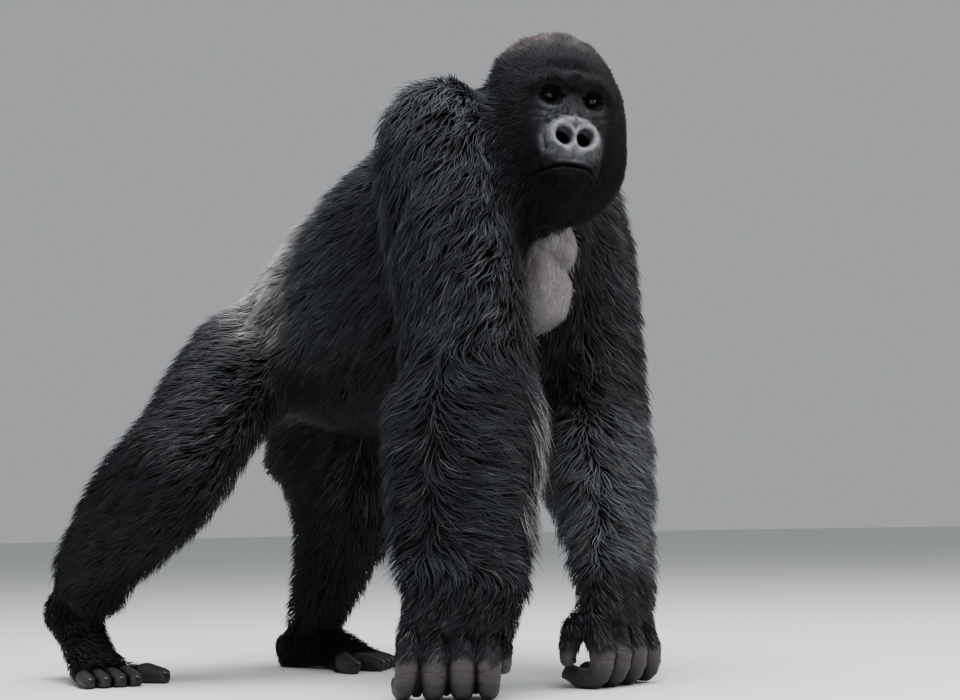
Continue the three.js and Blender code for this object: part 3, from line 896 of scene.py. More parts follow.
@dataclass(frozen=True)
class Ear:
    """A small bare ear of the one skin: a rolled rim round a hollow, its back edge off the head.

    Args:
        side: 1 for the left ear, -1 for the right one.
        at: its middle, back from and up from the head's own origin, mm.
        half: half its width and half its height, mm.
        lift: how far its front edge and its back edge stand off the skin, mm.
        wall: thickness at the rim, mm.
        turns: points round it.
        rings: rings of points over its face.
        hide: its colour, painted darker in the hollow as shade.
    """

    side: int
    at: Pair = (4, 16)
    half: Pair = (16.5, 25)
    lift: Pair = (4, 14)
    wall: float = 3.5
    turns: int = 44
    rings: int = 14
    hide: str = "#232022"

    def reach(self, local: Array) -> Array:
        """Gives how far out points of the head lie from the ear's middle, 1 at its edge."""
        back, up = ((local[:, i + 1] - self.at[i]) / self.half[i] for i in range(2))
        return np.hypot(back, up) + 9 * (np.abs(local[:, 0]) < 60)

    def relief(self, share: Array, turn: Array) -> Array:
        """Gives how far the ear's face rises, mm, by share of the radius and turn round it."""
        across, up = share * np.cos(turn), share * np.sin(turn)
        rear = 0.5 + 0.5 * np.cos(turn - 0.5)
        helix = 3.4 * bell(share, 0.87, 0.1) * (0.35 + 0.65 * rear)
        second = 2.6 * bell(share, 0.56, 0.1) * rear
        bowl = 7.5 * mound(across, up, (-0.22, -0.12), (0.34, 0.36))
        tragus = 3.0 * mound(across, up, (-0.72, -0.15), (0.17, 0.22))
        return helix + second - bowl + tragus

    def build(self, surface: Surface) -> Tuple[Array, List[Face], Array]:
        """Builds the ear on the skin.

        Args:
            surface: the skin's surface.

        Returns:
            The ear's points, its faces and its colours.
        """
        start = Vector(STANCE.from_head((self.side * 190, *self.at)))
        inward = Vector(STANCE.head_axes @ np.array((-self.side, 0, 0)))
        hit = surface.tree().ray_cast(start, inward)[0]
        base = abs(STANCE.in_head(np.array(hit)[None])[0, 0])
        turn = np.arange(self.turns) / self.turns * 2 * np.pi
        front = np.linspace(0, 1, self.rings)
        shares = np.concatenate([front, np.linspace(1, 0, 6)])
        rows = []
        for i, share in enumerate(shares):
            stand = self.lift[0] + (self.lift[1] - self.lift[0]) * (1 + share * np.cos(turn)) / 2
            face = i < self.rings
            sunk = stand - self.wall - 14 * (1 - share)
            out = stand + self.relief(np.full(self.turns, share), turn) if face else sunk
            y = self.at[0] + self.half[0] * share * np.cos(turn) * (1 + 0.18 * np.sin(turn))
            z = self.at[1] + self.half[1] * share * np.sin(turn)
            rows.append(np.column_stack([self.side * (base + out), y, z]))
        grid = np.concatenate(rows)
        faces = [(a, d, c, b) for a, b, c, d in grid_faces(len(shares) - 1, self.turns)]
        points = STANCE.from_head(grid)
        tris = np.array([(f[0], f[1], f[2]) for f in faces] + [(f[0], f[2], f[3]) for f in faces])
        corners = points[tris] - points.mean(axis=0)
        if np.einsum("ij,ij->i", corners[:, 0], np.cross(corners[:, 1], corners[:, 2])).sum() < 0:
            faces = [tuple(reversed(f)) for f in faces]
        # The ear's hollow is darkened with painted shade.
        deep = np.repeat(bell(shares, 0, 0.5), self.turns)[:, None]
        tones = np.array(linear(self.hide)) * (1 - 0.75 * deep)
        return points, faces, tones


@dataclass(frozen=True)
class Markings:
    """The colours of coat and skin over the animal, each named for where it lies, with painted shade and
    painted light among them.
    """

    black: str = "#131417"
    rust: str = "#453c39"
    grizzle: str = "#303338"
    silver: str = "#8d8b88"
    # painted shade: the lower legs and feet are darkened as they lie in shadow
    shank: str = "#0a0a0c"
    shadow: str = "#060607"
    haze: str = "#4b4541"
    breast: str = "#a8a4a1"
    # partly the far forearm's own grizzle, partly painted light on its lit side
    grizzle_and_light_forearm: str = "#45474b"
    hide: str = "#0e0e10"
    # painted shade of the brow over the eyes
    brow_shade: str = "#0b0b0c"
    face_hide: str = "#151517"
    # partly the muzzle's own grey, partly painted sheen
    muzzle_grey_and_sheen: str = "#37373b"
    # partly the nose's own grey, partly painted sheen
    nose_grey_and_sheen: str = "#68676b"
    # partly the skin's own grey, partly painted sheen under the eyes
    under_eye_grey_and_sheen: str = "#1c1c20"
    lip_hide: str = "#0c0c0d"
    chest_hide: str = "#7f777a"
    finger_hide: str = "#262222"
    knuckle_hide: str = "#453d3c"
    heel_hide: str = "#4c423f"
    # painted shade deep in the nostrils
    nostril_shade: str = "#020202"
    # painted shade round the eye openings
    lid_shade: str = "#070707"
    chin_hide: str = "#0a0a0b"
    # painted shade on the chest's lower and outer rim
    chest_rim_shade: str = "#2f2827"
    # painted shade in the cracks between the digits
    crack_shade: str = "#0c0a0a"

    def lay(self, base: str, layers: Sequence[Tuple[str, Array]]) -> Array:
        """Lays colours over a first one in their order, each by its amounts from 0 to 1."""
        tones = np.tile(np.array(linear(base)), (len(layers[0][1]), 1))
        for colour, amount in layers:
            tones = tones + np.clip(amount, 0, 1)[:, None] * (np.array(linear(colour)) - tones)
        return tones

    def paint_coat(self, surface: Surface) -> Array:
        """Gives the coat's colour at each point: black, a silver saddle and a rusty crown, with painted shade
        on the brow, the low trunk, the shanks and the feet, and painted light on the far forearm.
        """
        spots = surface.points
        x, y, z = (spots / MM - STANCE.shift).T
        _, ahead, above = STANCE.in_head(spots).T
        mottle = 0.5 + 0.5 * ripple(spots, 0.09, 3)
        head, trunk = surface.region("head"), surface.region("trunk")
        crown = head * ramp(above, 40, 115) * ramp(ahead, -80, -20)
        brow = head * ramp(ahead, -20, -70) * ramp(above, 96, 66)
        # The saddle's lower edge falls from the middle of the back to the front of the thighs.
        edge = z - 880 + 1.15 * y + 22 * ripple(spots, 0.12, 4)
        front = y + 34 * ripple(spots, 0.14, 6) - 0.25 * np.abs(x)
        rump = ramp(y, 430, 330)
        saddle = trunk * ramp(edge, -40, 65) * ramp(front, -60, 60) * rump
        flank = trunk * ramp(y, -120, 80) * (1 - saddle) * ramp(z, 590, 690)
        # Below the saddle the coat is frosted brown-grey before it turns black.
        haze = trunk * ramp(edge, -210, -30) * ramp(front, -40, 120) * (1 - saddle) * rump
        low = trunk * ramp(z, 690, 600) * (1 - surface.chest)
        breast = ramp(surface.chest, 0.35, 0.8) * (0.6 + 0.4 * ramp(z, 770, 860))
        arms = ("forearm_left", "upper_arm_left", "upper_arm_right", "forearm_right")
        # Single silver hairs stand among the black ones.
        far_arm = surface.region("forearm_left", "upper_arm_left", "hand_left")
        near_arm = surface.region("forearm_right", "upper_arm_right", "hand_right")
        thigh = surface.region(*THIGHS)
        frost = 0.22 * far_arm + 0.1 * near_arm + 0.16 * thigh + 0.22 * flank + 0.62 * surface.fringe
        surface.frost = frost + 0.8 * saddle * (1 - saddle) + 0.2 * haze
        layers = (
            (self.rust, 0.1 * surface.region(*THIGHS, *SHANKS) * mottle),
            # The lower legs and feet are darkened with painted shade.
            (self.shank, 0.7 * surface.region(*SHANKS, *FEET)),
            (self.rust, crown * (0.7 + 0.3 * ripple(spots, 0.05, 9))),
            (self.shadow, 0.85 * brow),
            (self.silver, 0.85 * saddle),
            (self.grizzle, 0.5 * flank),
            (self.haze, 0.6 * haze),
            (self.shadow, low),
            (self.breast, breast),
            (self.grizzle, 0.35 * surface.region(*arms) * mottle),
            # The far forearm is painted lighter: partly its own grizzle, partly painted light where light
            # falls on it.
            (self.grizzle_and_light_forearm, 0.65 * surface.region("forearm_left")),
        )
        return self.lay(self.black, layers)

    def paint_hide(self, surface: Surface) -> Array:
        """Gives the bare skin's colour at each point, with painted shade round the eyes, in the nostrils, on
        the chest's fold and rim and between the digits, and painted sheen on the nose, the muzzle and under
        the eyes.
        """
        face, digits = surface.face, surface.digits
        p = surface.points / MM - STANCE.shift
        local = STANCE.in_head(surface.points)
        x, z = np.abs(local[:, 0]), local[:, 2]
        socket = np.maximum(ramp(z, -12, 8), ramp(x, 16, 30) * ramp(z, -32, -16))
        muzzle = ramp(np.hypot(x / 62, (z + 88) / 48), 1.1, 0.75)
        nose = ramp(np.hypot(x / 46, (z + 78) / 32), 1.12, 0.82)
        mouth = np.interp(x, [0, 30, 60], [-133, -137, -149])
        lip = bell(z, mouth, 6) * ramp(x, 68, 58) + ramp(z - mouth, -4, -12) * 0.8
        # painted shade along the chest's fold
        fold = bell(chest_fold(p), 0, 12)
        rim = ramp(np.hypot((p[:, 0] - 6) / 74, (p[:, 2] - 745) / 115), 0.4, 0.95)
        hands = surface.region(*HANDS) * digits
        heel = surface.region(*FEET) * digits * ramp(p[:, 1], 560, 640)
        cracks = np.full(len(p), FAR_OFF)
        for name, limb in EXTREMITIES.items():
            near = np.flatnonzero(surface.region(name) * digits > 0.3)
            cracks[near] = np.minimum(cracks[near], limb.crowding(p[near]))
        layers = (
            (self.face_hide, face),
            # The skin round the eyes under the brow is darkened with painted shade.
            (self.brow_shade, face * socket),
            # Under the eyes the skin is painted lighter: partly its own grey, partly painted sheen.
            (self.under_eye_grey_and_sheen, face * mound(x, z, (46, -33), (24, 16))),
            # The muzzle is painted lighter: partly its own grey, partly painted sheen.
            (self.muzzle_grey_and_sheen, face * muzzle),
            # The nose is painted lighter: partly its own grey, partly painted sheen.
            (self.nose_grey_and_sheen, face * nose),
            (self.lip_hide, face * lip),
            # The nostrils are painted black as shade in their depths.
            (self.nostril_shade, ramp(nostril_reach(local), 1.0, 0.75)),
            # The lids round the eye openings are darkened with painted shade.
            (self.lid_shade, 0.4 * ramp(eye_gap(local), 15, 10) * face),
            (self.chin_hide, face * ramp(z, -148, -160)),
            # The bare chest fades into the dark hide at its edges and darkens along its fold, as painted
            # shade.
            (self.chest_hide, surface.chest**1.6 * (1 - 0.55 * fold)),
            # The chest's lower and outer rim is darkened with painted shade.
            (self.chest_rim_shade, 0.7 * surface.chest * rim * ramp(p[:, 2], 830, 760)),
            (self.finger_hide, digits),
            (self.knuckle_hide, 0.6 * (bell(p[:, 2], 52, 16) * hands)),
            (self.heel_hide, heel),
            # The cracks between the digits are darkened with painted shade.
            (self.crack_shade, ramp(cracks, 9, 2) * digits),
        )
        return self.lay(self.hide, layers)


# ---------- materials


def add_node(
    tree: Tree,
    kind: str,
    settings: Optional[Dict[str, object]] = None,
    links: Optional[Dict[str, Socket]] = None,
) -> Node:
    """Adds a node with its settings and its incoming links.

    Args:
        tree: the node tree.
        kind: the node's type name.
        settings: values by attribute name, or by input name.
        links: outputs to join to inputs, by input name or number.

    Returns:
        The new node.
    """
    node = tree.nodes.new(kind)
    for key, value in (settings or {}).items():
        if isinstance(key, str) and hasattr(node, key):
            setattr(node, key, value)
        else:
            node.inputs[key].default_value = value
    for key, socket in (links or {}).items():
        tree.links.new(socket, node.inputs[key])
    return node


def principled(name: str, values: Dict[str, object]) -> Tuple[Material, Node]:
    """Makes a material with one Principled shader, from its inputs' values by name."""
    material = bpy.data.materials.new(name)
    material.use_nodes = True
    shader = material.node_tree.nodes["Principled BSDF"]
    for label, value in values.items():
        shader.inputs[label].default_value = value
    return material, shader


def stored_tone(tree: Tree) -> Socket:
    """Reads the colour that a mesh carries at its points."""
    return add_node(tree, "ShaderNodeAttribute", {"attribute_name": "Tone"}).outputs["Color"]


def noise(tree: Tree, place: Socket, scale: float, detail: float, rough: float = 0.5) -> Socket:
    """Adds a noise of so many waves to a metre."""
    settings = {"Scale": scale, "Detail": detail, "Roughness": rough}
    return add_node(tree, "ShaderNodeTexNoise", settings, {"Vector": place}).outputs["Fac"]


def ranged(tree: Tree, value: Socket, start: Pair, end: Pair) -> Socket:
    """Takes a value from one range to another."""
    settings = {"From Min": start[0], "From Max": start[1], "To Min": end[0], "To Max": end[1]}
    return add_node(tree, "ShaderNodeMapRange", settings, {"Value": value}).outputs["Result"]


def bump(
    tree: Tree, height: Socket, depth: float, strength: float | Socket, under: Optional[Socket] = None
) -> Socket:
    """Adds a relief, its depth in metres, over the one under it, and gives its normal."""
    settings: Dict[str, object] = {"Distance": depth}
    links = {"Height": height}
    if under is not None:
        links["Normal"] = under
    if isinstance(strength, float):
        settings["Strength"] = strength
    else:
        links["Strength"] = strength
    return add_node(tree, "ShaderNodeBump", settings, links).outputs["Normal"]


@dataclass(frozen=True)
class Hair:
    """Gorilla guard hair: keratin locks, black by melanin, with a soft cool gloss from the sky."""

    name: str = "guard_hair"
    roughness: float = 0.58
    gloss: float = 0.15
    sheen: float = 0.02
    sheen_colour: str = "#c9d4e0"

    def make(self) -> Material:
        """Makes the material, whose colour is the coat's own marking."""
        values = {
            "Roughness": self.roughness,
            "IOR": 1.55,  # keratin
            "Specular IOR Level": self.gloss,
            "Sheen Weight": self.sheen,
            "Sheen Roughness": 0.4,
            "Sheen Tint": (*linear(self.sheen_colour), 1),
        }
        material, shader = principled(self.name, values)
        tree = material.node_tree
        tree.links.new(stored_tone(tree), shader.inputs["Base Color"])
        return material


@dataclass(frozen=True)
class Hide:
    """Bare gorilla skin: thick, dark, finely wrinkled and a little oily.

    Args:
        name: the material's name.
        roughness: its mean roughness.
        cells: skin cells to a metre.
        pores: pores to a metre, half a millimetre wide and drawn larger to show.
        blotches: blotches to a metre.
        folds: folds to a metre, across and up. They run across the fingers and toes.
        relief: strength of cells and pores.
    """

    name: str = "bare_skin"
    roughness: float = 0.5
    cells: float = 650.0
    pores: float = 800.0
    blotches: float = 90.0
    folds: Triple = (60, 60, 420)
    relief: float = 0.4

    def make(self) -> Material:
        """Makes the material, whose colour is the skin's own marking."""
        material, shader = principled(self.name, {"IOR": 1.42})
        tree = material.node_tree
        place = add_node(tree, "ShaderNodeTexCoord").outputs["Object"]
        tone = stored_tone(tree)
        blotch = noise(tree, place, self.blotches, 7.0, 0.7)
        colour = add_node(tree, "ShaderNodeMix", {"data_type": "RGBA", "blend_type": "MULTIPLY", 0: 1.0})
        tree.links.new(tone, colour.inputs[6])
        tree.links.new(ranged(tree, blotch, (0.3, 0.7), (0.6, 1.3)), colour.inputs[7])
        dull = ranged(tree, blotch, (0.3, 0.7), (self.roughness - 0.1, self.roughness + 0.12))
        # Where the skin is painted black as the shade in the nostrils and between the fingers, it doesn't
        # shine.
        level = add_node(tree, "ShaderNodeRGBToBW", links={"Color": tone}).outputs["Val"]
        wet = ranged(tree, level, (0.001, 0.022), (0.0, 0.5))
        settings = {"feature": "DISTANCE_TO_EDGE", "Scale": self.cells}
        cells = add_node(tree, "ShaderNodeTexVoronoi", settings, {"Vector": place}).outputs["Distance"]
        low = bump(tree, ranged(tree, cells, (0.0, 0.12), (0.0, 1.0)), 0.0006, self.relief)
        high = bump(tree, noise(tree, place, self.pores, 3.0), 0.0005, self.relief, low)
        wrinkle = add_node(tree, "ShaderNodeAttribute", {"attribute_name": "Wrinkle"}).outputs["Fac"]
        stretch = add_node(tree, "ShaderNodeMapping", {"Scale": self.folds}, {"Vector": place})
        folds = noise(tree, stretch.outputs["Vector"], 1.0, 2.0)
        across = bump(tree, folds, 0.0012, wrinkle, high)
        colour_out = colour.outputs[2]
        ends = {"Base Color": colour_out, "Roughness": dull, "Specular IOR Level": wet, "Normal": across}
        for label, socket in ends.items():
            tree.links.new(socket, shader.inputs[label])
        return material


@dataclass(frozen=True)
class EyeGloss:
    """A wet eyeball: dark brown white, amber-brown iris and black pupil under a clear wet film."""

    name: str = "wet_eye"

    def make(self) -> Material:
        """Makes the material, whose rings are stored in the eyeball's own points."""
        values = {"Roughness": 0.06, "IOR": 1.38, "Coat Weight": 0.25, "Coat Roughness": 0.03}
        material, shader = principled(self.name, values)
        tree = material.node_tree
        tree.links.new(stored_tone(tree), shader.inputs["Base Color"])
        return material


@dataclass(frozen=True)
class Horn:
    """Nail horn: black keratin, worn dull."""

    name: str = "nail_horn"
    colour: str = "#141213"
    roughness: float = 0.42

    def make(self) -> Material:
        """Makes the material."""
        values = {"Base Color": (*linear(self.colour), 1), "Roughness": self.roughness, "IOR": 1.54}
        return principled(self.name, values)[0]


def shade_smooth(mesh: Mesh) -> None:
    """Shades a mesh smoothly."""
    mesh.polygons.foreach_set("use_smooth", np.ones(len(mesh.polygons), bool))


def dress(
    name: str, points: Array, faces: List[Face], material: Material, tones: Array
) -> Object:
    """Makes a smooth object from points and faces, with a linear colour at each point."""
    mesh = mesh_of(name, points, faces)
    paint_points(mesh, tones)
    shade_smooth(mesh)
    mesh.materials.append(material)
    return object_of(mesh, name)


def paint_points(mesh: Mesh, tones: Array) -> None:
    """Stores a colour at each point of a mesh under the name Tone."""
    layer = mesh.attributes.new("Tone", "FLOAT_COLOR", "POINT")
    layer.data.foreach_set("color", np.column_stack([tones, np.ones(len(tones))]).ravel())


# ---------- the eyes


@dataclass
class Eye:
    """An eyeball with its iris, turned to look ahead.

    Args:
        side: right or left.
        gaze: the point in the head's frame that it looks at, mm.
        radius: the ball's radius, mm.
        iris: the iris's radius, mm.
        pupil: the pupil's radius, mm.
        facets: rings of the ball, and sides of each.
    """

    side: str
    gaze: Triple = (300, -2500, -560)
    radius: float = 13.9
    iris: float = 7.6
    pupil: float = 3.1
    facets: int = 40

    def build(self, material: Material) -> Object:
        """Builds the eye."""
        sign = -1 if self.side == "right" else 1
        x, y, z = STANCE.eye_at
        centre = np.array((sign * x, y, z), float)
        ahead = unit(np.array(self.gaze) - centre)
        across = unit(np.cross(ahead, (0, 0, 1)))
        up = np.cross(across, ahead)
        rings = sides = self.facets
        points, tones = [], []
        colours = ("#140d0a", "#1e130c", "#0d0806", "#020202")
        brown, amber, rim, pupil = (np.array(linear(c)) for c in colours)
        for i in range(rings + 1):
            angle = math.pi * (i / rings) ** 1.35
            distance = self.radius * math.sin(angle)
            bulge = 1.3 * math.exp(-((distance / 6.5) ** 2)) if angle < math.pi / 2 else 0
            for k in range(sides):
                turn = 2 * math.pi * k / sides
                side = math.cos(turn) * across + math.sin(turn) * up
                points.append(centre + ahead * (self.radius * math.cos(angle) + bulge) + side * distance)
                ray = 0.75 + 0.25 * math.sin(turn * 13 + 3 * math.sin(turn * 5))
                if angle > math.pi / 2 or distance > self.iris:
                    tone = brown
                elif distance > self.iris - 0.9:
                    tone = rim
                elif distance > self.pupil:
                    tone = amber * ray
                else:
                    tone = pupil
                tones.append(tone)
        faces = grid_faces(rings, sides)
        eye = dress(f"eyeball_{self.side}", STANCE.from_head(points), faces, material, np.array(tones))
        work = bmesh.new()
        work.from_mesh(eye.data)
        bmesh.ops.remove_doubles(work, verts=work.verts, dist=1e-6)
        bmesh.ops.recalc_face_normals(work, faces=work.faces)
        work.to_mesh(eye.data)
        work.free()
        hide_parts(f"eye_{self.side}")
        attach(eye, "root")
        return eye


# ---------- what Geometry Nodes set in place


PATCH = 0.003  # width of one hair's or one lock's patch in the OFBake map


def new_tree(name: str, inputs: Dict[str, str]) -> Tuple[Tree, Node]:
    """Starts a tree of Geometry Nodes from its inputs' socket types, and gives its input node too."""
    tree = bpy.data.node_groups.new(name, "GeometryNodeTree")
    tree.interface.new_socket(name="Geometry", in_out="INPUT", socket_type="NodeSocketGeometry")
    tree.interface.new_socket(name="Geometry", in_out="OUTPUT", socket_type="NodeSocketGeometry")
    for label, kind in inputs.items():
        tree.interface.new_socket(name=label, in_out="INPUT", socket_type=kind)
    return tree, tree.nodes.new("NodeGroupInput")


def stored_field(tree: Tree, name: str, kind: str = "FLOAT_VECTOR") -> Socket:
    """Reads a field that the mesh carries."""
    settings = {"data_type": kind, "Name": name}
    return add_node(tree, "GeometryNodeInputNamedAttribute", settings).outputs["Attribute"]


def finish_tree(tree: Tree, entry: Node, links: Dict[str, Socket]) -> None:
    """Ends a tree: a shape is set on each point by its links, made real and given the material."""
    placed = add_node(tree, "GeometryNodeInstanceOnPoints", links=links).outputs["Instances"]
    real = add_node(tree, "GeometryNodeRealizeInstances", links={"Geometry": placed})
    dressed = add_node(
        tree,
        "GeometryNodeSetMaterial",
        links={"Geometry": real.outputs["Geometry"], "Material": entry.outputs["Material"]},
    )
    end = tree.nodes.new("NodeGroupOutput")
    tree.links.new(dressed.outputs["Geometry"], end.inputs["Geometry"])


def run_tree(tree: Tree, mesh: Mesh, values: Dict[str, object]) -> Mesh:
    """Runs a tree on a mesh and gives the plain mesh that it makes.

    Args:
        tree: the tree.
        mesh: the mesh it starts from.
        values: values of its inputs by name.

    Returns:
        The mesh made.
    """
    carrier = object_of(mesh, tree.name)
    modifier = carrier.modifiers.new(tree.name, "NODES")
    modifier.node_group = tree
    for socket in tree.interface.items_tree:
        if socket.item_type == "SOCKET" and socket.in_out == "INPUT" and socket.name in values:
            modifier[socket.identifier] = values[socket.name]
    made = evaluated_mesh(carrier)
    bpy.data.objects.remove(carrier)
    return made


def points_mesh(name: str, points: Array, faces: Array, fields: Dict[str, Array]) -> Mesh:
    """Makes a mesh that carries fields at its points, for a tree to read."""
    mesh = mesh_of(name, points, faces.tolist())
    for key, values in fields.items():
        vector = values.ndim == 2
        layer = mesh.attributes.new(key, "FLOAT_VECTOR" if vector else "FLOAT", "POINT")
        layer.data.foreach_set("vector" if vector else "value", np.ascontiguousarray(values).ravel())
    return mesh


class NailSeat(Enum):
    """How a nail sits on the last joint of its digit: outward and along, as (forward, up)."""

    FINGER = ((-0.42, -0.91), (-0.91, 0.42))
    THUMB = ((0.96, 0.28), (0.28, -0.96))
    TOE = ((0.50, 0.87), (0.87, -0.50))


@dataclass
class Nails:
    """Black curved nails on fingers and toes.

    Args:
        width: width of a nail on a digit of 16 mm radius, mm.
        length: its length, mm.
        thickness: its thickness, mm.
    """

    width: float = 17.0
    length: float = 16.0
    thickness: float = 6.0

    def seats(self) -> Dict[str, Array]:
        """Gives the nails' middles, directions and sizes."""
        rows: Dict[str, List[Array]] = {"at": [], "Out": [], "Along": [], "Size": []}
        for name, limb in EXTREMITIES.items():
            _, ahead = limb.axes()
            for digit in limb.digits:
                seat = NailSeat.TOE if name.startswith("foot") else NailSeat.FINGER
                seat = NailSeat.THUMB if digit is THUMB else seat
                (of, ou), (af, au) = seat.value
                out = of * ahead + np.array((0, 0, ou))
                along = af * ahead + np.array((0, 0, au))
                *spot, radius = digit.chain[-1]
                at = limb.place(*spot) + out * radius * 0.86 + along * radius * 0.3
                rows["at"].append(STANCE.place(at))
                rows["Out"].append(out)
                rows["Along"].append(along)
                rows["Size"].append(np.array(radius / 16))
        return {key: np.array(values) for key, values in rows.items()}

    def build(self, material: Material) -> Object:
        """Builds all the nails as one piece."""
        sizes = {label: "NodeSocketFloat" for label in ("Width", "Length", "Thickness")}
        tree, entry = new_tree("nails", {**sizes, "Material": "NodeSocketMaterial"})
        plate = add_node(tree, "GeometryNodeMeshUVSphere", {"Segments": 18, "Rings": 10, "Radius": 0.5})
        axes = {"X": "Length", "Y": "Width", "Z": "Thickness"}
        axes = {axis: entry.outputs[label] for axis, label in axes.items()}
        size = add_node(tree, "ShaderNodeCombineXYZ", links=axes)
        shaped = add_node(
            tree,
            "GeometryNodeTransform",
            links={"Geometry": plate.outputs["Mesh"], "Scale": size.outputs["Vector"]},
        )
        turn = add_node(
            tree,
            "FunctionNodeAxesToRotation",
            {"primary_axis": "Z", "secondary_axis": "X"},
            {"Primary Axis": stored_field(tree, "Out"), "Secondary Axis": stored_field(tree, "Along")},
        )
        links = {
            "Points": entry.outputs["Geometry"],
            "Instance": shaped.outputs["Geometry"],
            "Rotation": turn.outputs["Rotation"],
            "Scale": stored_field(tree, "Size", "FLOAT"),
        }
        finish_tree(tree, entry, links)
        seats = self.seats()
        mesh = points_mesh("nail_seats", seats.pop("at"), np.array([]), seats)
        values = {"Width": self.width * MM, "Length": self.length * MM, "Thickness": self.thickness * MM}
        made = run_tree(tree, mesh, {**values, "Material": material})
        shade_smooth(made)
        piece = object_of(made, "nails")
        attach(piece, "root")
        LOG.info("nails: %d", len(seats["Size"]))
        return piece


@dataclass
class Down:
    """Short sparse hairs over bare skin, scattered by Geometry Nodes.

    Args:
        name: the piece's name.
        region: the region of the body whose unwrap the hairs use.
        growth: share of the full density at each point of the skin.
        density: hairs to a square metre.
        length: their length, mm.
        thickness: their thickness at the root, mm.
        rise: how steeply they stand from the skin, 0 flat to 1 upright.
        seed: seed of the scatter.
    """

    name: str
    region: str
    growth: Array
    density: float
    length: float
    thickness: float = 0.4
    rise: float = 0.2
    seed: int = 5

    def tree(self) -> Tree:
        """Makes the tree that scatters the hairs."""
        floats = {label: "NodeSocketFloat" for label in ("Density", "Length", "Thickness")}
        others = {"Seed": "NodeSocketInt", "Material": "NodeSocketMaterial"}
        tree, entry = new_tree(self.name, {**floats, **others})
        factors = {0: stored_field(tree, "Growth", "FLOAT"), 1: entry.outputs["Density"]}
        density = add_node(tree, "ShaderNodeMath", {"operation": "MULTIPLY"}, factors)
        roots = add_node(
            tree,
            "GeometryNodeDistributePointsOnFaces",
            {"distribute_method": "RANDOM"},
            {"Mesh": entry.outputs["Geometry"], "Density": density.outputs[0], "Seed": entry.outputs["Seed"]},
        )
        place = add_node(tree, "GeometryNodeInputPosition")
        kept = add_node(
            tree,
            "GeometryNodeStoreNamedAttribute",
            {"data_type": "FLOAT_VECTOR", "domain": "POINT", "Name": "Root"},
            {"Geometry": roots.outputs["Points"], "Value": place.outputs["Position"]},
        )
        halved = {"operation": "MULTIPLY", 1: 0.5}
        half = add_node(tree, "ShaderNodeMath", halved, {0: entry.outputs["Thickness"]})
        hair = add_node(
            tree,
            "GeometryNodeMeshCone",
            {"fill_type": "NONE", "Vertices": 3},
            {"Radius Bottom": half.outputs[0], "Depth": entry.outputs["Length"]},
        )
        lie = {"Vector": stored_field(tree, "Lie")}
        turn = add_node(tree, "FunctionNodeAlignRotationToVector", {"axis": "Z"}, lie)
        spread = {"data_type": "FLOAT", 2: 0.5, 3: 1.2}  # from half the length to a little over it
        size = add_node(tree, "FunctionNodeRandomValue", spread, {"Seed": entry.outputs["Seed"]})
        links = {
            "Points": kept.outputs["Geometry"],
            "Instance": hair.outputs["Mesh"],
            "Rotation": turn.outputs["Rotation"],
            "Scale": size.outputs[1],
        }
        finish_tree(tree, entry, links)
        return tree

    def build(self, coat: "Coat", material: Material) -> Optional[Object]:
        """Builds the hairs on the coat's skin.

        Args:
            coat: the coat, which knows the skin and its unwrap.
            material: the hair's material.

        Returns:
            The piece.
        """
        s = coat.surface
        tris = s.tris[self.growth[s.tris].max(axis=1) > 0.02]
        used, back = np.unique(tris, return_inverse=True)
        wander = np.column_stack([ripple(s.points[used], 0.02, 40 + k) for k in range(3)])
        lie = unit(s.flow[used] + 0.14 * wander) + self.rise * s.normals[used]
        fields = {"Growth": self.growth[used], "Lie": lie}
        mesh = points_mesh(self.name + "_bed", s.points[used], back.reshape(-1, 3), fields)
        values = {
            "Density": self.density,
            "Length": self.length * MM,
            "Thickness": self.thickness * MM,
            "Seed": self.seed,
            "Material": material,
        }
        made = run_tree(self.tree(), mesh, values)
        if not len(made.polygons):
            return None
        roots = np.empty(len(made.vertices) * 3)
        made.attributes["Root"].data.foreach_get("vector", roots)
        roots = roots.reshape(-1, 3)
        hits = [coat.tree.find_nearest(p)[2] for p in roots[::4]]
        tones = np.repeat(s.tone[s.tris[hits]].mean(axis=1), 4, axis=0)[: len(roots)]
        paint_points(made, tones)
        corners = np.empty(len(made.loops), np.int32)
        made.loops.foreach_get("vertex_index", corners)
        uv = coat.unwrap(REGION_NAMES.index(self.region), roots)
        offset = np.array([(-1, -1), (1, -1), (0, -1), (0, 1)]) * PATCH / 2
        uv = (uv + offset[np.arange(len(uv)) % 4])[corners]
        for layer in list(made.uv_layers):
            made.uv_layers.remove(layer)
        made.uv_layers.new(name="OFBake").data.foreach_set("uv", np.clip(uv, 0, 1).ravel())
        made.name = self.name
        piece = object_of(made, self.name)
        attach(piece, "root")
        LOG.info("%s: %d triangles", self.name, len(made.polygons))
        return piece


# ---------- the coat


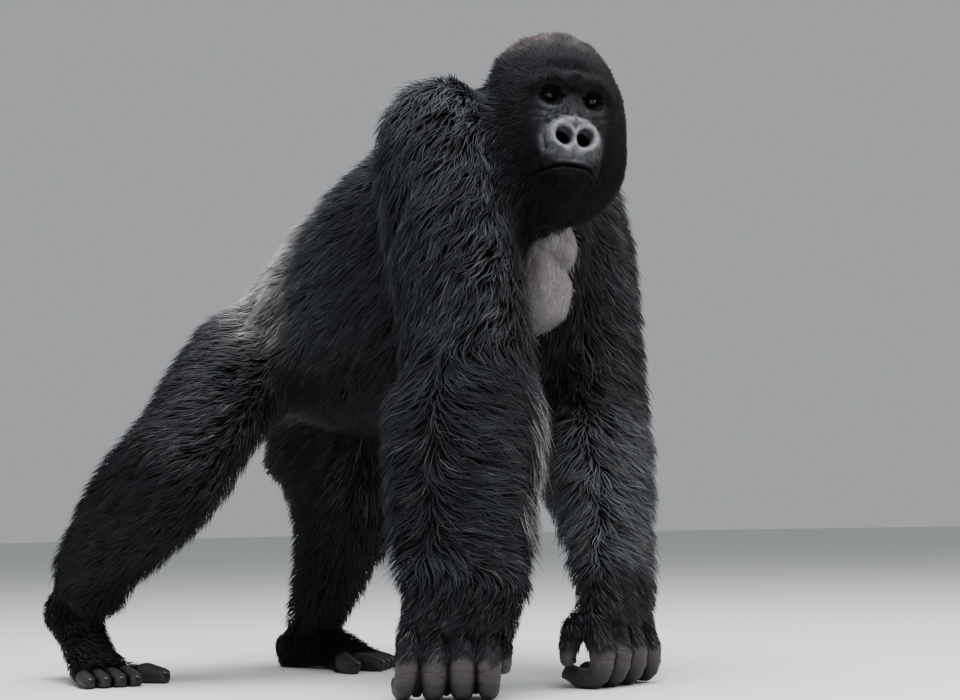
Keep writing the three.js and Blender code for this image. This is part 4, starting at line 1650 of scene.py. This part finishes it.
@dataclass
class Coat:
    """Solid locks of hair that lie along the skin, one piece for each region of the body.

    Args:
        surface: the skin's surface.
        seed: seed of all that is random in it.
        piece_limit: most triangles of one piece.
        stray: share of the locks that stand out from the rest.
        frost_width: width of a silver lock as a share of a black one's.
        root_depth: how deep a lock is rooted in the skin, metres.
        clump: locks to each leader that draws its neighbours together.
        clump_reach: how far a leader reaches, metres.
    """

    surface: Surface
    share: float = 1.0
    seed: int = 11
    piece_limit: int = 190_000
    stray: float = 0.07
    frost_width: float = 0.6
    root_depth: float = 0.002
    clump: int = 14
    clump_reach: float = 0.03

    def __post_init__(self) -> None:
        """Makes the search tree and each triangle's region."""
        s = self.surface
        self.tree = s.tree()
        a, b, c = (s.points[s.tris[:, i]] for i in range(3))
        self.areas = np.linalg.norm(np.cross(b - a, c - a), axis=1) / 2
        self.labels = s.weights[s.tris].mean(axis=1).argmax(axis=1)
        for trait in ("length", "width", "unrest", "curl", "gather", "density"):
            setattr(self, trait, s.weights @ np.array([getattr(g, trait) for g in REGIONS.values()]))
        self.lift = np.ones(len(s.points))
        self.trim()

    def trim(self) -> None:
        """Thins and shortens the hair towards the bare places, and lengthens fringes."""
        s = self.surface
        self.density = self.density * np.clip(1 - s.bare, 0, 1) ** 1.5
        down = np.clip(1 - 1.1 * s.bare, 0.3, 1)
        self.length = self.length * down
        self.width = self.width * np.clip(down + 0.2, 0.5, 1)
        local = STANCE.in_head(s.points)
        head = s.region("head")
        near_face = head * ramp(local[:, 1], -20, -80)
        # The hair stands fuller behind the ear and over the back of the crown on the right.
        fuller = head * ramp(local[:, 0], -45, -95) * ramp(local[:, 2], -10, 50)
        fuller *= ramp(local[:, 1], -60, -20)
        beard = head * ramp(local[:, 2], -120, -190)
        # Only short hair stands round the bare ears.
        ear = Ear(1).reach(local)
        changes = (
            ("length", -0.5, near_face),
            ("width", -0.3, near_face),
            ("density", 0.5, near_face),
            ("lift", 1.1, fuller),
            ("length", 0.5, fuller),
            ("length", 0.5, beard),
            ("length", 0.6, s.fringe),
            ("lift", 0.5, s.fringe),
            ("length", 0.35, s.sweep),
            ("lift", 0.7, s.sweep),
            ("density", -1, head * ramp(ear, 1.15, 0.85)),
            ("length", -0.6, head * ramp(ear, 2.3, 1.2)),
            ("lift", -0.45, head * ramp(ear, 2.0, 1.1)),
        )
        for trait, amount, where in changes:
            setattr(self, trait, getattr(self, trait) * (1 + amount * where))
        p = s.points / MM - STANCE.shift
        crook = s.region("thigh_left") * ramp(p[:, 2], 480, 400)
        crook *= ramp(s.normals[:, 1], 0.1, 0.6)
        belly = s.region("trunk") * ramp(s.normals[:, 2], -0.2, -0.7)
        self.length *= 1 + 0.5 * crook + 0.35 * belly
        self.lift *= 1 + 0.3 * belly

    def roots(self, region: int, rng: np.random.Generator) -> Dict[str, Array]:
        """Spreads roots over a region of the skin.

        Args:
            region: the region's number.
            rng: source of chance.

        Returns:
            What is known at each root, by name.
        """
        s = self.surface
        mine = np.flatnonzero(self.labels == region)
        wanted = self.areas[mine] * self.density[s.tris[mine]].mean(axis=1) * self.share
        heap = np.cumsum(wanted)
        count = int(heap[-1])
        marks = (np.arange(count) + rng.uniform(0, 1, count)) * (heap[-1] / max(count, 1))
        chosen = mine[np.minimum(np.searchsorted(heap, marks), len(mine) - 1)]
        u, v = rng.uniform(0, 1, count), rng.uniform(0, 1, count)
        flip = u + v > 1
        u[flip], v[flip] = 1 - u[flip], 1 - v[flip]
        corners = s.tris[chosen]
        bary = np.column_stack([1 - u - v, u, v])

        def mix(values: Array) -> Array:
            """Reads values of the skin at the roots."""
            picked = values[corners]
            return (picked * (bary[..., None] if values.ndim > 1 else bary)).sum(axis=1)

        known = {"at": mix(s.points), "normal": unit(mix(s.normals)), "flow": unit(mix(s.flow))}
        known.update({name: mix(getattr(s, name)) for name in ("tone", "depth", "frost")})
        traits = ("length", "width", "unrest", "curl", "gather", "lift")
        known.update({name: mix(getattr(self, name)) for name in traits})
        return known

    def grow(self, region: int) -> Optional[Tuple[Array, Array, Array, Array]]:
        """Grows the locks of one region.

        Args:
            region: the region's number.

        Returns:
            Points of the locks by lock and ring, their colours and their roots, or None.
        """
        rng = np.random.default_rng(self.seed + region)
        growth = REGIONS[REGION_NAMES[region]]
        r = self.roots(region, rng)
        count = len(r["at"])
        if not count:
            return None
        rings = growth.joints + 1
        shares = np.linspace(0, 1, rings + 1)
        stray = rng.uniform(0, 1, count) < self.stray
        frosted = rng.uniform(0, 1, count) < r["frost"]
        length = r["length"] * MM * rng.uniform(0.7, 1.15, count) * np.where(stray, 1.3, 1)
        stand = np.clip(0.98 + 0.12 * ripple(r["at"], 0.04, 33) + rng.normal(0, 0.15, count), 0.35, 1.25)
        lift = np.maximum(r["depth"], 3) * MM * r["lift"] * stand * np.where(stray, 1.25, 1)
        line, sides, nap = self.trace(r, length, lift, shares, rng)
        line = self.draw_together(line, r, shares, rng)
        tangents = np.gradient(line, axis=1)
        ups = unit(np.cross(sides, tangents))
        slim = np.where(frosted, self.frost_width, 1)
        widths = (r["width"] * MM / 2 * rng.uniform(0.7, 1.3, count) * slim)[:, None]
        widths = widths * np.interp(shares, [0, 0.35, 0.7, 1], [0.8, 1.0, 0.75, 0.0])
        points = np.empty((count, rings * 3 + 1, 3))
        normals = np.empty_like(points)
        for k, (across, high) in enumerate(((-1, -0.15), (0, 0.55), (1, -0.15))):
            ring = line[:, :-1] + sides[:, :-1] * (across * widths[:, :-1])[..., None]
            points[:, k : rings * 3 : 3] = ring + ups[:, :-1] * (high * widths[:, :-1])[..., None]
            own = unit(sides[:, :-1] * across + ups[:, :-1] * (high + 0.3))
            normals[:, k : rings * 3 : 3] = growth.velvet * nap[:, :-1] + (1 - growth.velvet) * own
        points[:, -1] = line[:, -1]
        normals[:, -1] = nap[:, -1]
        points[:, :, 2] = np.maximum(points[:, :, 2], 0.0005)
        waves = 0.34 * ripple(r["at"], 0.035, 35) + 0.26 * ripple(r["at"], 0.013, 36)
        shade = np.exp(waves + rng.normal(0, 0.3, count))
        pale = rng.uniform(0.08, 0.34, count)
        pale = pale + rng.uniform(0, 0.8, count) * ramp(r["frost"], 0.24, 0.42)
        silver = np.array(linear(Markings.silver)) * pale[:, None]
        tones = np.where(frosted[:, None], silver, r["tone"] * np.clip(shade, 0.35, 2.4)[:, None])
        return points, unit(normals), tones, r["at"]

    def trace(
        self, r: Dict[str, Array], length: Array, lift: Array, shares: Array, rng: np.random.Generator
    ) -> Tuple[Array, Array, Array]:
        """Lays each lock's middle line over the skin.

        Args:
            r: what is known at the roots.
            length: length of each lock, metres.
            lift: height of each tip over the skin, metres.
            shares: shares of the length at which the rings stand.
            rng: source of chance.

        Returns:
            The lines' points, the sideways directions and the skin's own directions there.
        """
        s, count, rings = self.surface, len(length), len(shares) - 1
        # The lie wanders in waves, so that neighbours lie alike.
        angle = np.radians(r["unrest"]) * (
            0.9 * ripple(r["at"], 0.06, 31) + 0.5 * ripple(r["at"], 0.022, 32) + rng.normal(0, 0.4, count)
        )
        spot, normal, flow = r["at"], r["normal"], r["flow"]
        line, sides, nap = [spot - normal * self.root_depth], [unit(np.cross(flow, normal))], [normal]
        phase = rng.uniform(0, 2 * np.pi, count)
        swing = (r["curl"] * length)[:, None]
        for i in range(1, rings + 1):
            side = np.cross(flow, normal)
            way = flow * np.cos(angle)[:, None] + side * np.sin(angle)[:, None]
            guess = spot + way * (length / rings)[:, None]
            hits = [self.tree.find_nearest(p) for p in guess]
            spot = np.array([h[0] for h in hits])
            normal = unit(0.5 * normal + 0.5 * np.array([h[1] for h in hits]))
            fresh = s.flow[s.tris[[h[2] for h in hits]]].mean(axis=1)
            flow = along_surface(0.45 * flow + 0.55 * fresh, normal)
            height = lift * shares[i] ** 0.7
            wave = np.sin(phase + shares[i] * 5.0)[:, None] * swing * shares[i]
            line.append(spot + normal * height[:, None] + np.cross(flow, normal) * wave)
            sides.append(unit(np.cross(flow, normal)))
            nap.append(normal)
        return np.stack(line, axis=1), np.stack(sides, axis=1), np.stack(nap, axis=1)

    def draw_together(
        self, line: Array, r: Dict[str, Array], shares: Array, rng: np.random.Generator
    ) -> Array:
        """Draws the tips of neighbouring locks towards a leader among them.

        Args:
            line: the lines' points by lock and ring.
            r: what is known at the roots.
            shares: shares of the length at which the rings stand.
            rng: source of chance.

        Returns:
            The lines' points after drawing together.
        """
        count = len(line)
        leaders = rng.choice(count, max(1, count // self.clump), replace=False)
        tree = KDTree(len(leaders))
        for i, leader in enumerate(leaders):
            tree.insert(r["at"][leader], i)
        tree.balance()
        chosen = leaders[[tree.find(p)[1] for p in r["at"]]]
        offset = line[chosen] - line
        away = np.linalg.norm(offset[:, 0], axis=1)
        near = np.clip(1 - away / self.clump_reach, 0, 1) * r["gather"] * rng.uniform(0.6, 1.2, count)
        return line + offset * (near[:, None] * shares[None] ** 1.4)[..., None]

    def faces(self, rings: int) -> List[Face]:
        """Lists the faces of one lock with its rings, from base to tip."""
        faces: List[Face] = [(2, 1, 0)]
        for i in range(rings - 1):
            for k in range(3):
                a, b = i * 3 + k, i * 3 + (k + 1) % 3
                faces.append((a, b, b + 3, a + 3))
        last = (rings - 1) * 3
        for k in range(3):
            faces.append((last + k, last + (k + 1) % 3, rings * 3))
        return faces

    def unwrap(self, region: int, places: Array) -> Array:
        """Unrolls places on a region of the skin round its bone, and along it, on the unit square."""
        ends = BONES[REGION_NAMES[region]]
        a, b = (STANCE.place(p) for p in ends)
        axis = unit(b - a)
        reference = np.array((0.0, 0.0, 1.0)) if abs(axis[2]) < 0.7 else np.array((0.0, 1.0, 0.0))
        first = unit(np.cross(axis, reference))
        second = np.cross(axis, first)
        off = places - a
        turn = np.arctan2(off @ second, off @ first) / (2 * np.pi) + 0.5
        reach = off @ axis
        span = reach.max() - reach.min() + 1e-6
        return np.column_stack([0.01 + 0.98 * turn, 0.01 + 0.98 * (reach - reach.min()) / span])

    def build(self, material: Material, short: Material) -> List[Object]:
        """Builds the whole coat.

        Args:
            material: the material of the long hair.
            short: the material of the short hair of head and neck.

        Returns:
            The coat's pieces.
        """
        pieces = []
        total = 0
        for region, name in enumerate(REGION_NAMES):
            grown = self.grow(region)
            if grown is None:
                continue
            points, normals, tones, places = grown
            rings = REGIONS[name].joints + 1
            one = self.faces(rings)
            per = sum(len(f) - 2 for f in one)
            atlas = self.unwrap(region, places)
            parts = max(1, math.ceil(len(points) * per / self.piece_limit))
            order = np.argsort(places[:, 1], kind="stable")
            finish = short if name in SHORT_HAIRED else material
            for i, group in enumerate(np.array_split(order, parts)):
                label = f"coat_{name}" + (f"_{i + 1}" if parts > 1 else "")
                locks = (points[group], normals[group], tones[group], atlas[group])
                pieces.append(self.piece(label, *locks, one, rings, finish))
                total += len(group) * per
                LOG.info("%s: %d locks, %d triangles", label, len(group), len(group) * per)
        LOG.info("coat: %d triangles", total)
        return pieces

    def piece(
        self,
        label: str,
        points: Array,
        normals: Array,
        tones: Array,
        atlas: Array,
        one: List[Face],
        rings: int,
        material: Material,
    ) -> Object:
        """Joins locks into one piece of the coat, with its OFBake map.

        Args:
            label: the piece's name.
            points: points of the locks, by lock.
            normals: the normal at each point.
            tones: the colour of each lock.
            atlas: the place of each root in the map.
            one: the faces of one lock.
            rings: rings of points of one lock.
            material: the hair's material.

        Returns:
            The piece.
        """
        count, per = points.shape[:2]
        sizes = np.array([len(f) for f in one])
        corners = np.concatenate([np.array(f) for f in one])
        loops = (corners[None] + (np.arange(count) * per)[:, None]).ravel()
        mesh = bpy.data.meshes.new(label)
        mesh.vertices.add(count * per)
        mesh.vertices.foreach_set("co", points.reshape(-1))
        mesh.loops.add(len(loops))
        mesh.loops.foreach_set("vertex_index", loops.astype(np.int32))
        mesh.polygons.add(count * len(one))
        starts = np.concatenate([[0], np.cumsum(sizes)[:-1]])
        all_starts = (starts[None] + (np.arange(count) * sizes.sum())[:, None]).ravel()
        mesh.polygons.foreach_set("loop_start", all_starts.astype(np.int32))
        mesh.update(calc_edges=True)
        mesh.validate()
        shade_smooth(mesh)
        # Each lock has a small patch at its root's place.
        ring = np.minimum(np.arange(per) // 3, rings)
        across = np.array([-1, 0, 1])[np.arange(per) % 3] * 0.5
        patch = np.column_stack([across, ring / rings - 0.5]) * PATCH
        patch[-1, 0] = 0
        uv = (atlas[:, None] + patch[None])[:, corners].reshape(-1, 2)
        layer = mesh.uv_layers.new(name="OFBake")
        layer.data.foreach_set("uv", np.clip(uv, 0, 1).ravel())
        # Each lock is painted darker at the root as the shade between locks, and lighter at the tip as
        # painted light.
        root_shade_tip_light = np.interp(np.arange(per) // 3 / rings, [0, 0.4, 1], [0.4, 0.9, 1.3])
        full = tones[:, None] * root_shade_tip_light[None, :, None]
        paint_points(mesh, full.reshape(-1, 3))
        mesh.materials.append(material)
        mesh.normals_split_custom_set_from_vertices(normals.reshape(-1, 3))
        piece = object_of(mesh, label)
        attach(piece, "root")
        return piece


# ---------- stage, light and camera


@dataclass(frozen=True)
class Lamp:
    """A square lamp that shines at the animal's middle: its place and side in metres, its power in watts."""

    name: str
    at: Triple
    size: float
    power: float
    colour: str

    def hang(self) -> None:
        """Hangs the lamp."""
        data = bpy.data.lights.new(self.name, "AREA")
        data.size = self.size
        data.energy = self.power
        data.color = linear(self.colour)
        lamp = bpy.data.objects.new(self.name, data)
        lamp.location = self.at
        aim = Vector((0, 0, 0.6)) - Vector(self.at)
        lamp.rotation_euler = aim.to_track_quat("-Z", "Y").to_euler()
        bpy.context.scene.collection.objects.link(lamp)


@dataclass(frozen=True)
class Studio:
    """A plain pale floor, a soft overcast light from above and the camera.

    Args:
        camera_at: where the camera stands, mm.
        look: the way it looks, over the floor.
        pitch: how far it looks up, degrees.
        roll: how far it leans, degrees.
        lens: length of the lens, mm.
        sensor: width of the sensor, mm.
        lamps: the lamps.
    """

    camera_at: Triple = (-2405, -2098, 299)
    look: Pair = (0.784, 0.621)
    pitch: float = 6.22
    roll: float = -1.1
    lens: float = 60
    sensor: float = 36
    lamps: Tuple[Lamp, ...] = (
        Lamp("sky", (-0.9, -0.7, 4.0), 3.0, 430, "#f1f6ff"),
        Lamp("front", (-3.6, -3.4, 2.6), 2.4, 30, "#ffffff"),
        Lamp("side", (1.9, -3.2, 3.2), 2.2, 130, "#fff6ee"),
    )

    def floor(self) -> None:
        """Lays the floor."""
        corners = 40.0 * np.array([(-1, -1, 0), (1, -1, 0), (1, 1, 0), (-1, 1, 0)])
        mesh = mesh_of("floor", corners, [(0, 1, 2, 3)])
        values = {"Base Color": (*linear("#d9dad8"), 1), "Roughness": 0.9}
        mesh.materials.append(principled("pale_paper", values)[0])
        object_of(mesh, "floor")

    def light(self) -> None:
        """Lights the animal as a bright overcast sky does."""
        world = bpy.data.worlds.new("pale_sky")
        world.use_nodes = True
        back = world.node_tree.nodes["Background"]
        back.inputs["Color"].default_value = (*linear("#e4e8ec"), 1)
        back.inputs["Strength"].default_value = 0.5
        bpy.context.scene.world = world
        for lamp in self.lamps:
            lamp.hang()

    def camera(self) -> None:
        """Sets the camera."""
        data = bpy.data.cameras.new("camera")
        data.lens = self.lens
        data.sensor_width = self.sensor
        data.clip_end = 200
        camera = bpy.data.objects.new("camera", data)
        rise = math.radians(self.pitch)
        flat = Vector((*self.look, 0)).normalized()
        ahead = flat * math.cos(rise) + Vector((0, 0, math.sin(rise)))
        right = ahead.cross(Vector((0, 0, 1))).normalized()
        up = right.cross(ahead)
        c, s = math.cos(math.radians(self.roll)), math.sin(math.radians(self.roll))
        right, up = right * c + up * s, up * c - right * s
        basis = Matrix((right, up, -ahead)).transposed().to_4x4()
        camera.matrix_world = Matrix.Translation(Vector(STANCE.place(self.camera_at))) @ basis
        bpy.context.scene.collection.objects.link(camera)
        bpy.context.scene.camera = camera

    def build(self) -> None:
        """Sets up the whole studio."""
        self.floor()
        self.light()
        self.camera()


def build_hide(surface: Surface) -> None:
    """Makes the skin's piece, with the ears in it."""
    points, faces, tones = surface.points, list(surface.faces), surface.skin_tone
    for side in (-1, 1):
        more, rings, shades = Ear(side).build(surface)
        faces.extend(tuple(v + len(points) for v in face) for face in rings)
        points, tones = np.vstack([points, more]), np.vstack([tones, shades])
    hide = dress("skin", points, faces, Hide().make(), tones)
    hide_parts(*FLESH)
    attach(hide, "root")
    wrinkle = hide.data.attributes.new("Wrinkle", "FLOAT", "POINT")
    ears = len(points) - len(surface.points)
    wrinkle.data.foreach_set("value", np.pad(0.7 * surface.digits, (0, ears)))


def build_hair(surface: Surface, share: float) -> None:
    """Makes the coat and the short hairs of the bare face, chin and breast.

    Args:
        surface: the skin's surface.
    """
    hair = Hair().make()
    short = Hair("short_hair", roughness=0.62, gloss=0.08).make()
    coat = Coat(surface, share)
    coat.build(hair, short)
    local = STANCE.in_head(surface.points)
    shorn = ramp(nostril_reach(local), 1.6, 2.4) * ramp(eye_gap(local), 14, 20)
    muzzle = ramp(np.hypot(local[:, 0] / 46, (local[:, 2] + 78) / 30), 0.9, 1.3)
    chin = ramp(local[:, 2], -140, -158)
    face = surface.face * shorn * (0.25 + 0.75 * np.maximum(muzzle, chin))
    breast = surface.chest * (0.3 + 0.7 * ramp(surface.points[:, 2] / MM, 780, 860))
    down = (
        Down("coat_face", "head", face * share, density=260e3, length=5.5),
        Down("coat_chin", "head", surface.face * chin * share, 300e3, 10, 0.7, 0.35, 6),
        Down("coat_chest", "trunk", breast * share, 300e3, 11, 0.6, 0.25, 7),
    )
    for bed in down:
        bed.build(coat, hair if bed.region == "trunk" else short)


def main() -> None:
    """Builds skin, eyes, nails and coat, and sets the studio."""
    Studio().build()
    surface = Skin().build()
    build_hide(surface)
    gloss = EyeGloss().make()
    for side in ("right", "left"):
        Eye(side).build(gloss)
    Nails().build(Horn().make())
    build_hair(surface, 1.0)


if __name__ == "__main__":
    main()
